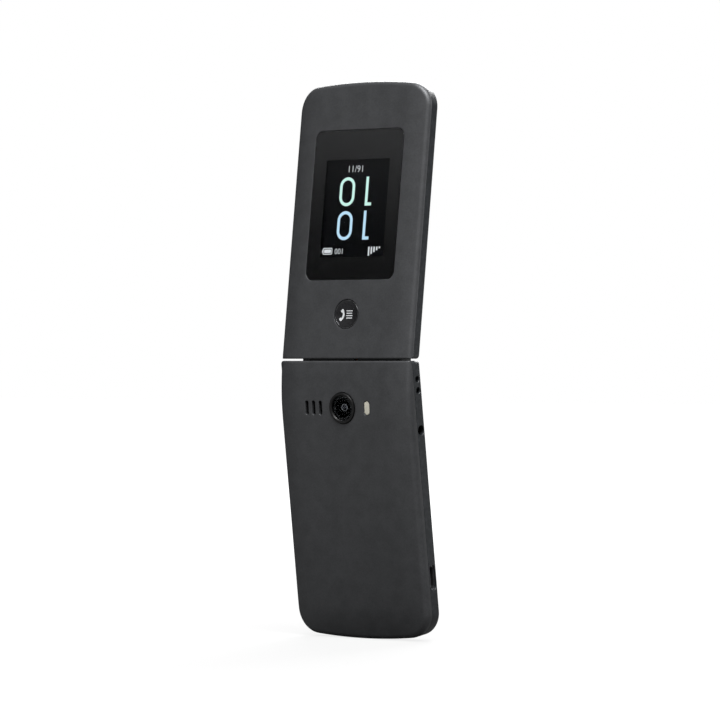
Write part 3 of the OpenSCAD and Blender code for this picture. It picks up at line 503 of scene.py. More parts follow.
class Shop:
    """The few things that are done to every mesh."""

    @staticmethod
    def mesh(half: Half, name: str, points: np.ndarray, faces: Faces) -> bpy.types.Mesh:
        """A mesh of points in a half's frame, placed in the world.

        Args:
            half: the half that carries it.
            name: the mesh's name.
            points: rows of x, u and v in millimetres.
            faces: each face's points by index.

        Returns:
            The new mesh.
        """
        mesh = bpy.data.meshes.new(name)
        mesh.from_pydata(half.place(points).tolist(), [], faces)
        return mesh

    @staticmethod
    def add(name: str, mesh: bpy.types.Mesh) -> Piece:
        """Puts a mesh in the scene as an object at the origin.

        Args:
            name: the object's name.
            mesh: the mesh.

        Returns:
            The new object.
        """
        obj = bpy.data.objects.new(name, mesh)
        bpy.context.scene.collection.objects.link(obj)
        return obj

    @staticmethod
    def outward(obj: Piece) -> Piece:
        """Merges doubles and turns a closed mesh's faces outwards.

        Args:
            obj: the object.

        Returns:
            The same object.
        """
        bm = bmesh.new()
        bm.from_mesh(obj.data)
        bmesh.ops.remove_doubles(bm, verts=bm.verts, dist=2e-7)
        bmesh.ops.dissolve_degenerate(bm, edges=bm.edges, dist=1e-8)
        bmesh.ops.recalc_face_normals(bm, faces=bm.faces)
        bm.to_mesh(obj.data)
        bm.free()
        return obj

    @staticmethod
    def smooth(obj: Piece, angle: float) -> Piece:
        """Shades a mesh smooth, with edges past an angle in degrees kept sharp.

        Args:
            obj: the object.
            angle: edges sharper than this many degrees stay sharp.

        Returns:
            The same object.
        """
        obj.data.shade_smooth()
        obj.data.set_sharp_from_angle(angle=math.radians(angle))
        return obj

    @staticmethod
    def baked(obj: Piece) -> Piece:
        """Applies an object's modifiers to its mesh and removes them.

        Args:
            obj: the object.

        Returns:
            The same object.
        """
        bpy.context.view_layer.update()
        graph = bpy.context.evaluated_depsgraph_get()
        made = bpy.data.meshes.new_from_object(obj.evaluated_get(graph))
        obj.modifiers.clear()
        obj.data = made
        return obj

    @staticmethod
    def cut(
        obj: Piece, tools: Sequence[Piece], action: str = "DIFFERENCE"
    ) -> Piece:
        """Cuts tools from a mesh, or joins them to it, and removes the tools.

        Args:
            obj: the mesh that is worked on.
            tools: closed meshes.
            action: DIFFERENCE or UNION.

        Returns:
            The same object.
        """
        for i, tool in enumerate(tools):
            step = obj.modifiers.new(f"cut_{i}", "BOOLEAN")
            step.operation, step.object, step.solver = action, tool, "MANIFOLD"
        Shop.baked(obj)
        for tool in tools:
            bpy.data.objects.remove(tool)
        return obj

    @staticmethod
    def weighted(obj: Piece, angle: float = 32.0) -> Piece:
        """Shades a mesh smooth with flat faces that stay flat beside their fillets.

        Args:
            obj: the object.
            angle: edges sharper than this many degrees stay sharp.

        Returns:
            The same object.
        """
        Shop.smooth(obj, angle)
        step = obj.modifiers.new("weighted", "WEIGHTED_NORMAL")
        step.keep_sharp, step.weight = True, 80
        return Shop.baked(obj)

    @staticmethod
    def joined(name: str, parts: Sequence[Piece]) -> Piece:
        """Makes one object of several meshes.

        Args:
            name: the new object's name.
            parts: the objects, which are removed.

        Returns:
            The new object.
        """
        bm = bmesh.new()
        for part in parts:
            bm.from_mesh(part.data)
        mesh = bpy.data.meshes.new(name)
        bm.to_mesh(mesh)
        bm.free()
        for part in parts:
            bpy.data.objects.remove(part)
        return Shop.smooth(Shop.add(name, mesh), 35)

    @staticmethod
    def hand_over(
        obj: Piece,
        body: str,
        finish: "Surface",
        slot: str,
        *nodes: str,
    ) -> Piece:
        """Dresses a finished piece and lets it ride.

        Args:
            obj: the finished piece.
            body: the body it rides on.
            finish: its finish.
            slot: the record's material slot; not used.
            nodes: CAD nodes that it stands for.

        Returns:
            The same object.
        """
        if not any(obj.data.materials):
            obj.data.materials.clear()
            obj.data.materials.append(dressed(finish))
        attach(obj, body)
        if nodes:
            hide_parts(*nodes)
        LOG.info("%s on %s: %d faces", obj.name, body, len(obj.data.polygons))
        return obj


def lathe(half: Half, name: str, x: float, u: float, profile: Path, count: int = 96) -> Piece:
    """A turned solid about an axis along v.

    Args:
        half: the half that carries it.
        name: the object's name.
        x: the axis along x.
        u: the axis along u.
        profile: radius and height of each ring, closed where the ends meet the axis.
        count: points round each ring.

    Returns:
        The new object.
    """
    skin = Skin(half)
    rings = [skin.ring(Circle(x, u, r, count).at(0), v) for r, v in profile if r > 0]
    skin.run(rings)
    if profile[0][0] > 0 and profile[-1][0] > 0:
        skin.bridge(rings[-1], rings[0])
    for end, ring in ((profile[0], rings[0]), (profile[-1], rings[-1])):
        if end[0] == 0:
            tip = skin.ring(np.array([[x, u]]), end[1])[0]
            n = len(ring)
            skin.faces += [(ring[i], ring[(i + 1) % n], tip) for i in range(n)]
    return skin.build(name, angle=30)


def tube(half: Half, name: str, loops: Sequence[Sequence[Triple]]) -> Piece:
    """A closed solid drawn through loops of equal length, with flat ends.

    Args:
        half: the half that carries it.
        name: the object's name.
        loops: x, u and v of each loop's points.

    Returns:
        The new object.
    """
    n = len(loops[0])
    rings = [list(range(k * n, (k + 1) * n)) for k in range(len(loops))]
    faces = [face for one, other in zip(rings, rings[1:]) for face in belt(one, other)]
    faces += [tuple(rings[0]), tuple(rings[-1])]
    return Shop.outward(Shop.add(name, Shop.mesh(half, name, np.concatenate(loops), faces)))


def x_lathe(half: Half, name: str, u: float, v: float, profile: Path, count: int = 96) -> Piece:
    """A turned solid about an axis along x.

    Args:
        half: the half that carries it.
        name: the object's name.
        u: the axis along u.
        v: the axis along v.
        profile: place along x and radius of each ring.
        count: points round each ring.

    Returns:
        The new object.
    """
    turns = [2 * math.pi * i / count for i in range(count)]
    loops = [[(x, u + r * math.cos(a), v + r * math.sin(a)) for a in turns] for x, r in profile]
    return Shop.smooth(tube(half, name, loops), 30)


def prism(half: Half, name: str, section: Path, x0: float, x1: float) -> Piece:
    """A section of u and v points drawn out along x from x0 to x1."""
    return tube(half, name, [[(x, u, v) for u, v in section] for x in (x0, x1)])


def pad(
    half: Half,
    name: str,
    contour: Contour,
    back: float,
    front: float,
    radius: float = 0.15,
    crown: float = 0.0,
    back_radius: float = 0.05,
) -> Piece:
    """A plate with rounded edges, whose front face may be crowned.

    Args:
        half: the half that carries it.
        name: the object's name.
        contour: its outline.
        back: height of its back face.
        front: height of its front edge's face.
        radius: radius of the front edge.
        crown: how far the middle of the front stands above its edge.
        back_radius: radius of the back edge.

    Returns:
        The new object.
    """
    sign = 1 if front > back else -1
    skin = Skin(half)
    rings = [skin.ring(contour.at(back_radius + FLAT_EDGE), back)]
    for rise, inset in quarter(back_radius, 2):
        rings.append(skin.ring(contour.at(inset), back + sign * rise))
    for i, (inset, fall) in enumerate(quarter(radius, 5)):
        rings.append(skin.ring(contour.at(inset), front - sign * fall, 1 if 0 < i < 5 else 0.4))
    skin.run(rings)
    skin.fill(rings[0], [], back, 4)
    loop = contour.at(radius + FLAT_EDGE)
    middle, reach = loop.mean(0), np.abs(loop - loop.mean(0)).max(0)

    def top(x: np.ndarray, u: np.ndarray) -> np.ndarray:
        """Height of the crowned front."""
        rx, ru = (x - middle[0]) / reach[0], (u - middle[1]) / reach[1]
        return front + sign * crown * np.clip((1 - rx**2) * (1 - ru**2), 0, 1)

    flat = skin.bridge(rings[-1], skin.ring(loop, front))
    skin.fill(flat, [], top, 0.8 if crown else 3)
    return skin.build(name)


# ------------------------------------------------------------------ wiring of node trees


class Wiring:
    """Short words for building a node tree."""

    def __init__(self, tree: Tree) -> None:
        """Takes the tree that is wired."""
        self.tree = tree

    def put(self, kind: str, inputs: dict | None = None, **settings: object) -> Node:
        """Adds a node.

        Args:
            kind: the node's type name.
            inputs: values or sockets for its inputs, by name or number.
            settings: the node's own settings.

        Returns:
            The new node.
        """
        node = self.tree.nodes.new(kind)
        for name, value in settings.items():
            setattr(node, name, value)
        return self.feed(node, inputs or {})

    def feed(self, node: Node, inputs: dict) -> Node:
        """Sets a node's inputs.

        Args:
            node: the node.
            inputs: values or sockets for its inputs, by name or number.

        Returns:
            The same node.
        """
        for key, value in inputs.items():
            if isinstance(value, Socket):
                self.tree.links.new(value, node.inputs[key])
            else:
                node.inputs[key].default_value = value
        return node

    def place(self) -> Socket:
        """The piece's own Object coordinates."""
        return self.put("ShaderNodeTexCoord").outputs["Object"]

    def maths(self, operation: str, a: object, b: object = 0.0, c: object = 0.0) -> Socket:
        """The result of a Math node on values or sockets."""
        return self.put("ShaderNodeMath", {0: a, 1: b, 2: c}, operation=operation).outputs[0]

    def blend(self, share: object, a: object, b: object, mode: str = "MIX") -> Socket:
        """The result of a colour Mix node on values or sockets."""
        node = self.put("ShaderNodeMix", {0: share, 6: a, 7: b}, data_type="RGBA", blend_type=mode)
        return node.outputs[2]

    def ramp(self, value: object, low: float, high: float) -> Socket:
        """A value's smooth rise from 0 at low to 1 at high."""
        limits = {0: value, 1: low, 2: high}
        return self.put("ShaderNodeMapRange", limits, interpolation_type="SMOOTHSTEP").outputs[0]


def principled(name: str) -> tuple[bpy.types.Material, Wiring, Node]:
    """A new material, the wiring of its tree, and its shader.

    Args:
        name: the material's name.

    Returns:
        The material, its wiring and its shader.
    """
    material = bpy.data.materials.new(name)
    material.use_nodes = True
    return material, Wiring(material.node_tree), material.node_tree.nodes["Principled BSDF"]


def shade_group(
    name: str, inputs: dict[str, float], outputs: Sequence[str]
) -> tuple[Wiring, Node, Node]:
    """Starts a shader node group with value sockets.

    Args:
        name: the group's name.
        inputs: its inputs' names and default values.
        outputs: its outputs' names.

    Returns:
        The wiring, the group's input node and its output node.
    """
    tree = bpy.data.node_groups.new(name, "ShaderNodeTree")
    for key, value in inputs.items():
        socket = tree.interface.new_socket(key, in_out="INPUT", socket_type="NodeSocketFloat")
        socket.default_value = value
    for key in outputs:
        tree.interface.new_socket(key, in_out="OUTPUT", socket_type="NodeSocketFloat")
    wiring = Wiring(tree)
    return wiring, wiring.put("NodeGroupInput"), wiring.put("NodeGroupOutput")


@lru_cache(maxsize=None)
def grain_group() -> Tree:
    """Grain of a moulded or blasted surface: a height, and a mottling of its colour.

    Returns:
        The group, made once.
    """
    w, given, out = shade_group("surface_grain", {"Size": 0.3, "Seed": 0.0}, ("Height", "Mottle"))
    place = w.place()
    scale = w.maths("DIVIDE", 1000.0, given.outputs["Size"])
    both = {"Vector": place, "W": given.outputs["Seed"]}
    close = {**both, "Scale": scale, "Detail": 2.0, "Roughness": 0.6}
    far = {**both, "Scale": w.maths("DIVIDE", scale, 9.0), "Detail": 3.0}
    fine, wide = (w.put("ShaderNodeTexNoise", one, noise_dimensions="4D").outputs[0] for one in (close, far))
    height = w.maths("MULTIPLY_ADD", wide, 0.35, fine)
    mixed = w.maths("ADD", w.maths("MULTIPLY", fine, 0.5), w.maths("MULTIPLY", wide, 0.5))
    w.feed(out, {"Height": height, "Mottle": w.ramp(mixed, 0.3, 0.7)})
    return w.tree


@lru_cache(maxsize=None)
def wear_group() -> Tree:
    """Rubbed edges: a mask that follows the rim attribute and is broken up by noise.

    Returns:
        The group, made once.
    """
    w, given, out = shade_group("edge_wear", {"Amount": 0.5, "Size": 1.5}, ("Mask",))
    place = w.place()
    rim = w.put("ShaderNodeAttribute", attribute_name="rim").outputs["Fac"]
    scale = w.maths("DIVIDE", 1000.0, given.outputs["Size"])
    noise = w.put("ShaderNodeTexNoise", {"Vector": place, "Scale": scale, "Detail": 4.0})
    broken = w.ramp(noise.outputs[0], 0.35, 0.75)
    mask = w.maths("MULTIPLY", w.maths("MULTIPLY", rim, broken), given.outputs["Amount"])
    w.feed(out, {"Mask": mask})
    return w.tree


@lru_cache(maxsize=None)
def dust_group() -> Tree:
    """Handling marks and dust: a slow change of roughness, and a mask of fine specks.

    Returns:
        The group, made once.
    """
    w, given, out = shade_group("handling_dust", {"Amount": 0.1, "Specks": 0.2}, ("Roughness", "Mask"))
    place = w.place()
    smear = w.put("ShaderNodeTexNoise", {"Vector": place, "Scale": 90.0, "Detail": 4.0, "Distortion": 0.8})
    centred = w.maths("SUBTRACT", smear.outputs[0], 0.5)
    cells = w.put("ShaderNodeTexVoronoi", {"Vector": place, "Scale": 420.0, "Randomness": 1.0})
    speck = w.maths("SUBTRACT", 1.0, w.ramp(cells.outputs["Distance"], 0.02, 0.07))
    rough = w.maths("MULTIPLY", centred, given.outputs["Amount"])
    w.feed(out, {"Roughness": rough, "Mask": w.maths("MULTIPLY", speck, given.outputs["Specks"])})
    return w.tree


def srgb(red: int, green: int, blue: int, lift: float = 1.0) -> Colour:
    """A linear colour from screen values of 0 to 255, brightened by a factor.

    Args:
        red: red on the screen.
        green: green on the screen.
        blue: blue on the screen.
        lift: the factor.

    Returns:
        The colour, opaque.
    """
    screen = [c / 255 for c in (red, green, blue)]
    linear = [(c / 12.92 if c < 11 / 255 else ((c + 0.055) / 1.055) ** 2.4) for c in screen]
    return (linear[0] * lift, linear[1] * lift, linear[2] * lift, 1.0)


def scaled(colour: Colour, factor: float) -> Colour:
    """A colour made darker or lighter by a factor."""
    return (colour[0] * factor, colour[1] * factor, colour[2] * factor, 1.0)


# ------------------------------------------------------------------ finishes


@dataclass(frozen=True)
class Finish:
    """A moulded, painted or blasted surface with grain, rubbed edges and handling marks."""

    name: str
    colour: Colour
    roughness: float = 0.5
    metallic: float = 0.0
    specular: float = 0.5
    coat: float = 0.0
    coat_roughness: float = 0.1
    grain: float = 0.3
    depth: float = 0.004
    mottle: float = 0.12
    worn: Colour = (0.25, 0.25, 0.25, 1.0)
    wear: float = 0.25
    smear: float = 0.08
    specks: float = 0.03
    seed: float = 0.0

    def extra(self, w: Wiring, colour: Socket) -> Socket:
        """Lets a finish change the colour further; a plain one returns it as it is."""
        return colour

    def relief(self, w: Wiring, height: Socket) -> Socket:
        """Lets a finish change the relief further; a plain one returns it as it is."""
        return height

    def build(self) -> bpy.types.Material:
        """Makes the material.

        Returns:
            The material.
        """
        material, w, shader = principled(self.name)
        material.diffuse_color = self.colour
        grain = w.put("ShaderNodeGroup", {"Size": self.grain, "Seed": self.seed}, node_tree=grain_group())
        wear = w.put("ShaderNodeGroup", {"Amount": self.wear}, node_tree=wear_group())
        marks = {"Amount": self.smear, "Specks": self.specks}
        dust = w.put("ShaderNodeGroup", marks, node_tree=dust_group()).outputs
        dark, light = scaled(self.colour, 1 - self.mottle), scaled(self.colour, 1 + self.mottle)
        colour = self.extra(w, w.blend(grain.outputs["Mottle"], dark, light))
        colour = w.blend(dust["Mask"], colour, (0.3, 0.3, 0.29, 1.0))
        height = self.relief(w, grain.outputs["Height"])
        bump = w.put("ShaderNodeBump", {"Height": height, "Distance": self.depth * MM, "Strength": 1.0})
        w.feed(shader, {
            "Base Color": w.blend(wear.outputs["Mask"], colour, self.worn),
            "Roughness": w.maths("ADD", w.maths("ADD", dust["Roughness"], self.roughness), dust["Mask"]),
            "Normal": bump.outputs[0],
            "Metallic": self.metallic,
            "Specular IOR Level": self.specular,
            "Coat Weight": self.coat,
            "Coat Roughness": self.coat_roughness,
        })
        return material


@dataclass(frozen=True)
class TurnedFinish(Finish):
    """A finish with fine rings cut round an axis of the half."""

    centre: Triple = (0.0, 0.0, 0.0)
    axis: Triple = (0.0, 1.0, 0.0)
    pitch: float = 0.12
    cut: float = 0.35

    def radius(self, w: Wiring) -> Socket:
        """Distance from the axis, in millimetres.

        Args:
            w: the wiring of the material's tree.

        Returns:
            The output that carries the distance.
        """
        arm = w.put("ShaderNodeVectorMath", {0: w.place(), 1: self.centre}, operation="SUBTRACT")
        cross = w.put("ShaderNodeVectorMath", {0: arm.outputs[0], 1: self.axis}, operation="CROSS_PRODUCT")
        length = w.put("ShaderNodeVectorMath", {0: cross.outputs[0]}, operation="LENGTH")
        return w.maths("MULTIPLY", length.outputs["Value"], 1000.0)

    def relief(self, w: Wiring, height: Socket) -> Socket:
        """Adds the rings to the grain.

        Args:
            w: the wiring of the material's tree.
            height: the relief so far.

        Returns:
            The output that carries the new relief.
        """
        turns = w.maths("MULTIPLY", self.radius(w), 2 * math.pi / self.pitch)
        wave = w.maths("SINE", turns)
        return w.maths("MULTIPLY_ADD", wave, self.cut, height)


@dataclass(frozen=True)
class BrushedFinish(Finish):
    """A metal brushed along the hinge axis."""

    def relief(self, w: Wiring, height: Socket) -> Socket:
        """Adds long scratches to the grain.

        Args:
            w: the wiring of the material's tree.
            height: the relief so far.

        Returns:
            The output that carries the new relief.
        """
        long = w.put("ShaderNodeMapping", {"Vector": w.place(), "Scale": (60.0, 4200.0, 4200.0)})
        lines = w.put("ShaderNodeTexNoise", {"Vector": long.outputs[0], "Scale": 1.0, "Detail": 3.0})
        return w.maths("MULTIPLY_ADD", lines.outputs[0], 1.4, height)


@dataclass(frozen=True)
class BoardFinish(Finish):
    """A circuit board with copper runs and ground islands under its lacquer."""

    copper: Colour = (0.03, 0.16, 0.09, 1.0)

    def runs(self, w: Wiring) -> Socket:
        """Mask of the copper runs.

        Args:
            w: the wiring of the material's tree.

        Returns:
            The output that carries the mask.
        """
        place = w.place()
        turned = w.put("ShaderNodeMapping", {"Vector": place, "Rotation": (1.43, 0, 0)})
        size = {"Scale": 620.0, "Mortar Size": 0.06}
        bricks = w.put("ShaderNodeTexBrick", {"Vector": turned.outputs[0], **size})
        cells = w.put("ShaderNodeTexVoronoi", {"Vector": place, "Scale": 300.0}, distance="MANHATTAN")
        islands = w.ramp(cells.outputs["Distance"], 0.30, 0.34)
        return w.maths("MAXIMUM", w.maths("MULTIPLY", bricks.outputs["Fac"], 0.7), islands)

    def extra(self, w: Wiring, colour: Socket) -> Socket:
        """Lays the copper runs over the lacquer's colour."""
        return w.blend(self.runs(w), colour, self.copper)


@dataclass(frozen=True)
class FilmFinish(Finish):
    """An amber flexible cable with its copper lines."""

    line: Colour = (0.55, 0.22, 0.06, 1.0)

    def extra(self, w: Wiring, colour: Socket) -> Socket:
        """Lays copper lines side by side along the hinge axis."""
        bands = w.put("ShaderNodeTexWave", {"Vector": w.place(), "Scale": 420.0}, bands_direction="X")
        return w.blend(w.ramp(bands.outputs["Fac"], 0.55, 0.7), colour, self.line)


@dataclass(frozen=True)
class PanelFinish(Finish):
    """A dark display panel with the fine columns of its pixels."""

    def extra(self, w: Wiring, colour: Socket) -> Socket:
        """Lays a faint pixel pattern over the panel's colour.

        Args:
            w: the wiring of the material's tree.
            colour: the colour so far.

        Returns:
            The output that carries the new colour.
        """
        grid = w.put("ShaderNodeTexChecker", {"Vector": w.place(), "Scale": 4000.0})
        share = w.maths("MULTIPLY", grid.outputs["Fac"], 0.35)
        return w.blend(share, colour, (0.004, 0.005, 0.008, 1.0))


@dataclass(frozen=True)
class RibbedFinish(Finish):
    """A moulded diffuser with fine ribs across it."""

    pitch: float = 0.32

    def relief(self, w: Wiring, height: Socket) -> Socket:
        """Adds the ribs, which run along the hinge axis.

        Args:
            w: the wiring of the material's tree.
            height: the relief so far.

        Returns:
            The output that carries the new relief.
        """
        part = w.put("ShaderNodeSeparateXYZ", {0: w.place()})
        turns = w.maths("MULTIPLY", part.outputs["Z"], 2000 * math.pi / self.pitch)
        return w.maths("MULTIPLY_ADD", w.maths("SINE", turns), 2.5, height)


@dataclass(frozen=True)
class GlassFinish:
    """Clear cover glass, with the faint smears that handling leaves."""

    name: str
    tint: Colour = (0.92, 0.93, 0.94, 1.0)
    roughness: float = 0.015
    smear: float = 0.03
    bend: float = 1.2

    def build(self) -> bpy.types.Material:
        """Makes the material.

        Returns:
            The material.
        """
        material, w, shader = principled(self.name)
        dust = w.put("ShaderNodeGroup", {"Amount": self.smear, "Specks": 0.0}, node_tree=dust_group())
        rough = w.maths("ADD", dust.outputs["Roughness"], self.roughness)
        w.feed(shader, {
            "Roughness": w.maths("MAXIMUM", rough, 0.004),
            "Base Color": self.tint,
            "Transmission Weight": 1.0,
            "IOR": self.bend,
        })
        return material


@dataclass(frozen=True)
class GlowFinish:
    """A lit part of a display, whose light changes a little from pixel to pixel."""

    name: str
    colour: Colour
    strength: float = 1.0
    flicker: float = 0.06

    def build(self) -> bpy.types.Material:
        """Makes the material.

        Returns:
            The material.
        """
        material, w, shader = principled(self.name)
        material.diffuse_color = self.colour
        grid = w.put("ShaderNodeTexChecker", {"Vector": w.place(), "Scale": 4000.0}).outputs["Fac"]
        w.feed(shader, {
            "Emission Color": w.blend(grid, self.colour, scaled(self.colour, 1 - self.flicker)),
            "Roughness": w.maths("MULTIPLY_ADD", grid, 0.1, 0.4),
            "Base Color": (0.01, 0.01, 0.012, 1.0),
            "Emission Strength": self.strength,
        })
        return material


Surface = Finish | GlassFinish | GlowFinish


@lru_cache(maxsize=None)
def dressed(finish: Surface) -> bpy.types.Material:
    """The material of a finish, made once."""
    return finish.build()


class Look:
    """The finishes of this phone."""

    COVER = Finish(
        "cover_soft_grey", srgb(74, 75, 77), roughness=0.46, metallic=0.5, specular=0.5, grain=0.55,
        depth=0.012, mottle=0.15, worn=srgb(104, 105, 108), wear=0.14, smear=0.08, specks=0.03,
    )
    FRAME = Finish(
        "frame_slate", srgb(30, 33, 36), roughness=0.44, grain=0.22, depth=0.006, mottle=0.10,
        worn=srgb(95, 98, 102), wear=0.35, seed=2.0,
    )
    INNER = Finish("inner_moulding", srgb(38, 39, 41), roughness=0.6, grain=0.5, depth=0.01, seed=4.0)
    STEEL = BrushedFinish(
        "pressed_steel", srgb(178, 179, 182), roughness=0.32, metallic=1.0, grain=0.4, depth=0.003,
        mottle=0.06,
    )
    GOLD = Finish("contact_gold", srgb(214, 170, 96), roughness=0.25, metallic=1.0, grain=0.3, depth=0.002)
    RING = Finish(
        "ring_black", srgb(11, 11, 12), roughness=0.45, specular=0.25, coat=0.1, coat_roughness=0.2,
        grain=0.15, depth=0.001, worn=srgb(110, 110, 112), wear=0.3, seed=5.0,
    )
    LENS_BLACK = Finish(
        "lens_black", srgb(7, 7, 8), roughness=0.5, specular=0.03, specks=0.0, grain=0.3,
        depth=0.0004, seed=6.0,
    )
    MASK = Finish(
        "window_mask", srgb(9, 9, 10), roughness=0.12, specular=0.7, grain=0.2, depth=0.0002,
        mottle=0.05, wear=0.0, smear=0.02, specks=0.0,
    )
    PANEL = PanelFinish(
        "display_panel", srgb(5, 6, 8), roughness=0.3, specular=0.1, grain=0.2, depth=0.0002,
        wear=0.0, specks=0.0,
    )
    CREAM = RibbedFinish(
        "flash_cream", srgb(226, 222, 205), roughness=0.28, coat=0.5, grain=0.2, depth=0.006, mottle=0.05
    )
    WIRE = Finish("mesh_black", srgb(20, 20, 21), roughness=0.5, grain=0.1, depth=0.002, seed=7.0)
    RUBBER = Finish("silicone", srgb(33, 33, 34), roughness=0.75, grain=0.25, depth=0.01, seed=8.0)
    FILM = FilmFinish("flex_amber", srgb(186, 112, 42), roughness=0.35, grain=0.3, depth=0.002)
    KEY = Finish(
        "key_black", srgb(30, 31, 33), roughness=0.28, coat=0.35, coat_roughness=0.12, grain=0.18,
        depth=0.003, worn=srgb(90, 90, 92), wear=0.3, seed=9.0,
    )
    BOARD = BoardFinish("circuit_board", srgb(14, 66, 40), roughness=0.35, grain=0.4, depth=0.003)
    PRINT = Finish("white_print", srgb(222, 224, 226), roughness=0.5, grain=0.12, depth=0.001, mottle=0.04)
    GREEN_PRINT = Finish("green_print", srgb(60, 178, 92), roughness=0.5, grain=0.12, depth=0.001)
    RED_PRINT = Finish("red_print", srgb(206, 56, 50), roughness=0.5, grain=0.12, depth=0.001)
    CELL_WRAP = Finish("cell_wrap", srgb(52, 53, 56), roughness=0.45, grain=0.6, depth=0.006, seed=10.0)
    GLASS = GlassFinish("cover_glass")
    MINT = GlowFinish("glow_mint", srgb(200, 240, 228), 1.12)
    ICE = GlowFinish("glow_ice", srgb(184, 220, 240), 1.12)
    WHITE = GlowFinish("glow_white", srgb(225, 230, 232), 0.95)


# ------------------------------------------------------------------ thin printed and lit shapes


class Decal:
    """Thin shapes printed or lit on a face of a half, drawn in the reader's own directions."""

    def __init__(
        self, half: Half, x: float, u: float, v: Height, ways: tuple[int, int, int], thick: float = 0.015
    ) -> None:
        """Starts a decal.

        Args:
            half: the half that carries it.
            x: the decal's origin along x.
            u: the decal's origin along u.
            v: height of the face under it.
            ways: signs of the reader's right along x, up along u, and near along v.
            thick: its thickness.
        """
        self.half, self.x, self.u, self.v = half, x, u, v
        self.ways, self.thick = ways, thick
        self.flat: list[tuple[float, float]] = []
        self.level: list[float] = []
        self.faces: Faces = []

    def add(self, loop: Path, level: float) -> Ring:
        """Adds points at a share of the thickness, and returns their indices.

        Args:
            loop: places along the reader's right and up.
            level: the share of the thickness.

        Returns:
            The indices of the new points.
        """
        first = len(self.flat)
        self.flat += [(float(a), float(b)) for a, b in loop]
        self.level += [level] * len(loop)
        return list(range(first, len(self.flat)))

    def patch(self, loop: Path) -> None:
        """Adds a filled shape with the loop as its edge."""
        low, high = self.add(loop, 0), self.add(loop, 1)
        self.faces += [tuple(low), tuple(high), *belt(low, high)]

    def box(self, a: float, b: float, w: float, h: float, r: float = 0.0) -> None:
        """Adds a filled rectangle with its centre at a, b and round corners of radius r.

        Args:
            a: its centre along the reader's right.
            b: its centre along the reader's up.
            w: its width.
            h: its height.
            r: radius of its corners.
        """
        if r > 0:
            self.patch(RoundRect(a, b, w, h, r, 4, 99).at(0).tolist())
        else:
            corners = ((-1, -1), (1, -1), (1, 1), (-1, 1))
            self.patch([(a + sa * w / 2, b + sb * h / 2) for sa, sb in corners])

    def band(self, outer: Path, inner: Path) -> None:
        """Adds a closed band between two loops of equal length.

        Args:
            outer: the loop outside.
            inner: the loop inside.
        """
        rings = [self.add(outer, 0), self.add(outer, 1), self.add(inner, 1), self.add(inner, 0)]
        for one, other in zip(rings, [*rings[1:], rings[0]]):
            self.faces += belt(one, other)

    def loop(self, a: float, b: float, w: float, h: float, r: float, line: float) -> None:
        """Adds a drawn rectangle with round corners, centred at a, b, with a line width."""
        shape = RoundRect(a, b, w, h, r, 10, 99)
        self.band(shape.at(-line / 2), shape.at(line / 2))

    def stroke(self, path: Path, line: float) -> None:
        """Adds an open stroke along a path with a line width.

        Args:
            path: places along the reader's right and up.
            line: its width.
        """
        pts = np.array(path, float)
        way = np.gradient(pts, axis=0)
        way /= np.linalg.norm(way, axis=1, keepdims=True)
        side = np.stack([-way[:, 1], way[:, 0]], -1) * line / 2
        ring = np.concatenate([pts + side, (pts - side)[::-1]])
        low, high = self.add(ring, 0), self.add(ring, 1)
        for ids in (low, high):
            back = ids[::-1]
            self.faces += [(ids[i], ids[i + 1], back[i + 1], back[i]) for i in range(len(pts) - 1)]
        self.faces += belt(low, high)

    def words(
        self, text: str, size: float, a: float, b: float, weight: float = 0.0, squeeze: float = 1.0
    ) -> None:
        """Adds characters in the built-in type.

        Args:
            text: the characters.
            size: their size.
            a: their centre along the reader's right.
            b: their centre along the reader's up.
            weight: how much their strokes are thinned or fattened.
            squeeze: share of their full width.
        """
        curve = bpy.data.curves.new("type", "FONT")
        curve.body, curve.size, curve.offset, curve.extrude = text, 1.0, weight, 0.5
        curve.align_x, curve.align_y, curve.resolution_u = "CENTER", "CENTER", 3
        obj = bpy.data.objects.new("type", curve)
        bpy.context.scene.collection.objects.link(obj)
        bpy.context.view_layer.update()
        graph = bpy.context.evaluated_depsgraph_get()
        made = bpy.data.meshes.new_from_object(obj.evaluated_get(graph))
        ids = []
        for vertex in made.vertices:
            spot = [(a + vertex.co.x * size * squeeze, b + vertex.co.y * size)]
            ids += self.add(spot, 1.0 if vertex.co.z > 0 else 0.0)
        self.faces += [tuple(ids[i] for i in face.vertices) for face in made.polygons]
        bpy.data.objects.remove(obj)
        bpy.data.meshes.remove(made)

    def build(self, name: str) -> Piece:
        """Makes the shapes one object, laid on their face.

        Args:
            name: the object's name.

        Returns:
            The new object.
        """
        flat = np.array(self.flat)
        x = self.x + self.ways[0] * flat[:, 0]
        u = self.u + self.ways[1] * flat[:, 1]
        v = self.v(x, u) if callable(self.v) else np.full(len(x), float(self.v))
        v = v + self.ways[2] * self.thick * np.array(self.level)
        mesh = Shop.mesh(self.half, name, np.stack([x, u, v], -1), self.faces)
        return Shop.smooth(Shop.outward(Shop.add(name, mesh)), 25)


# ------------------------------------------------------------------ the shells


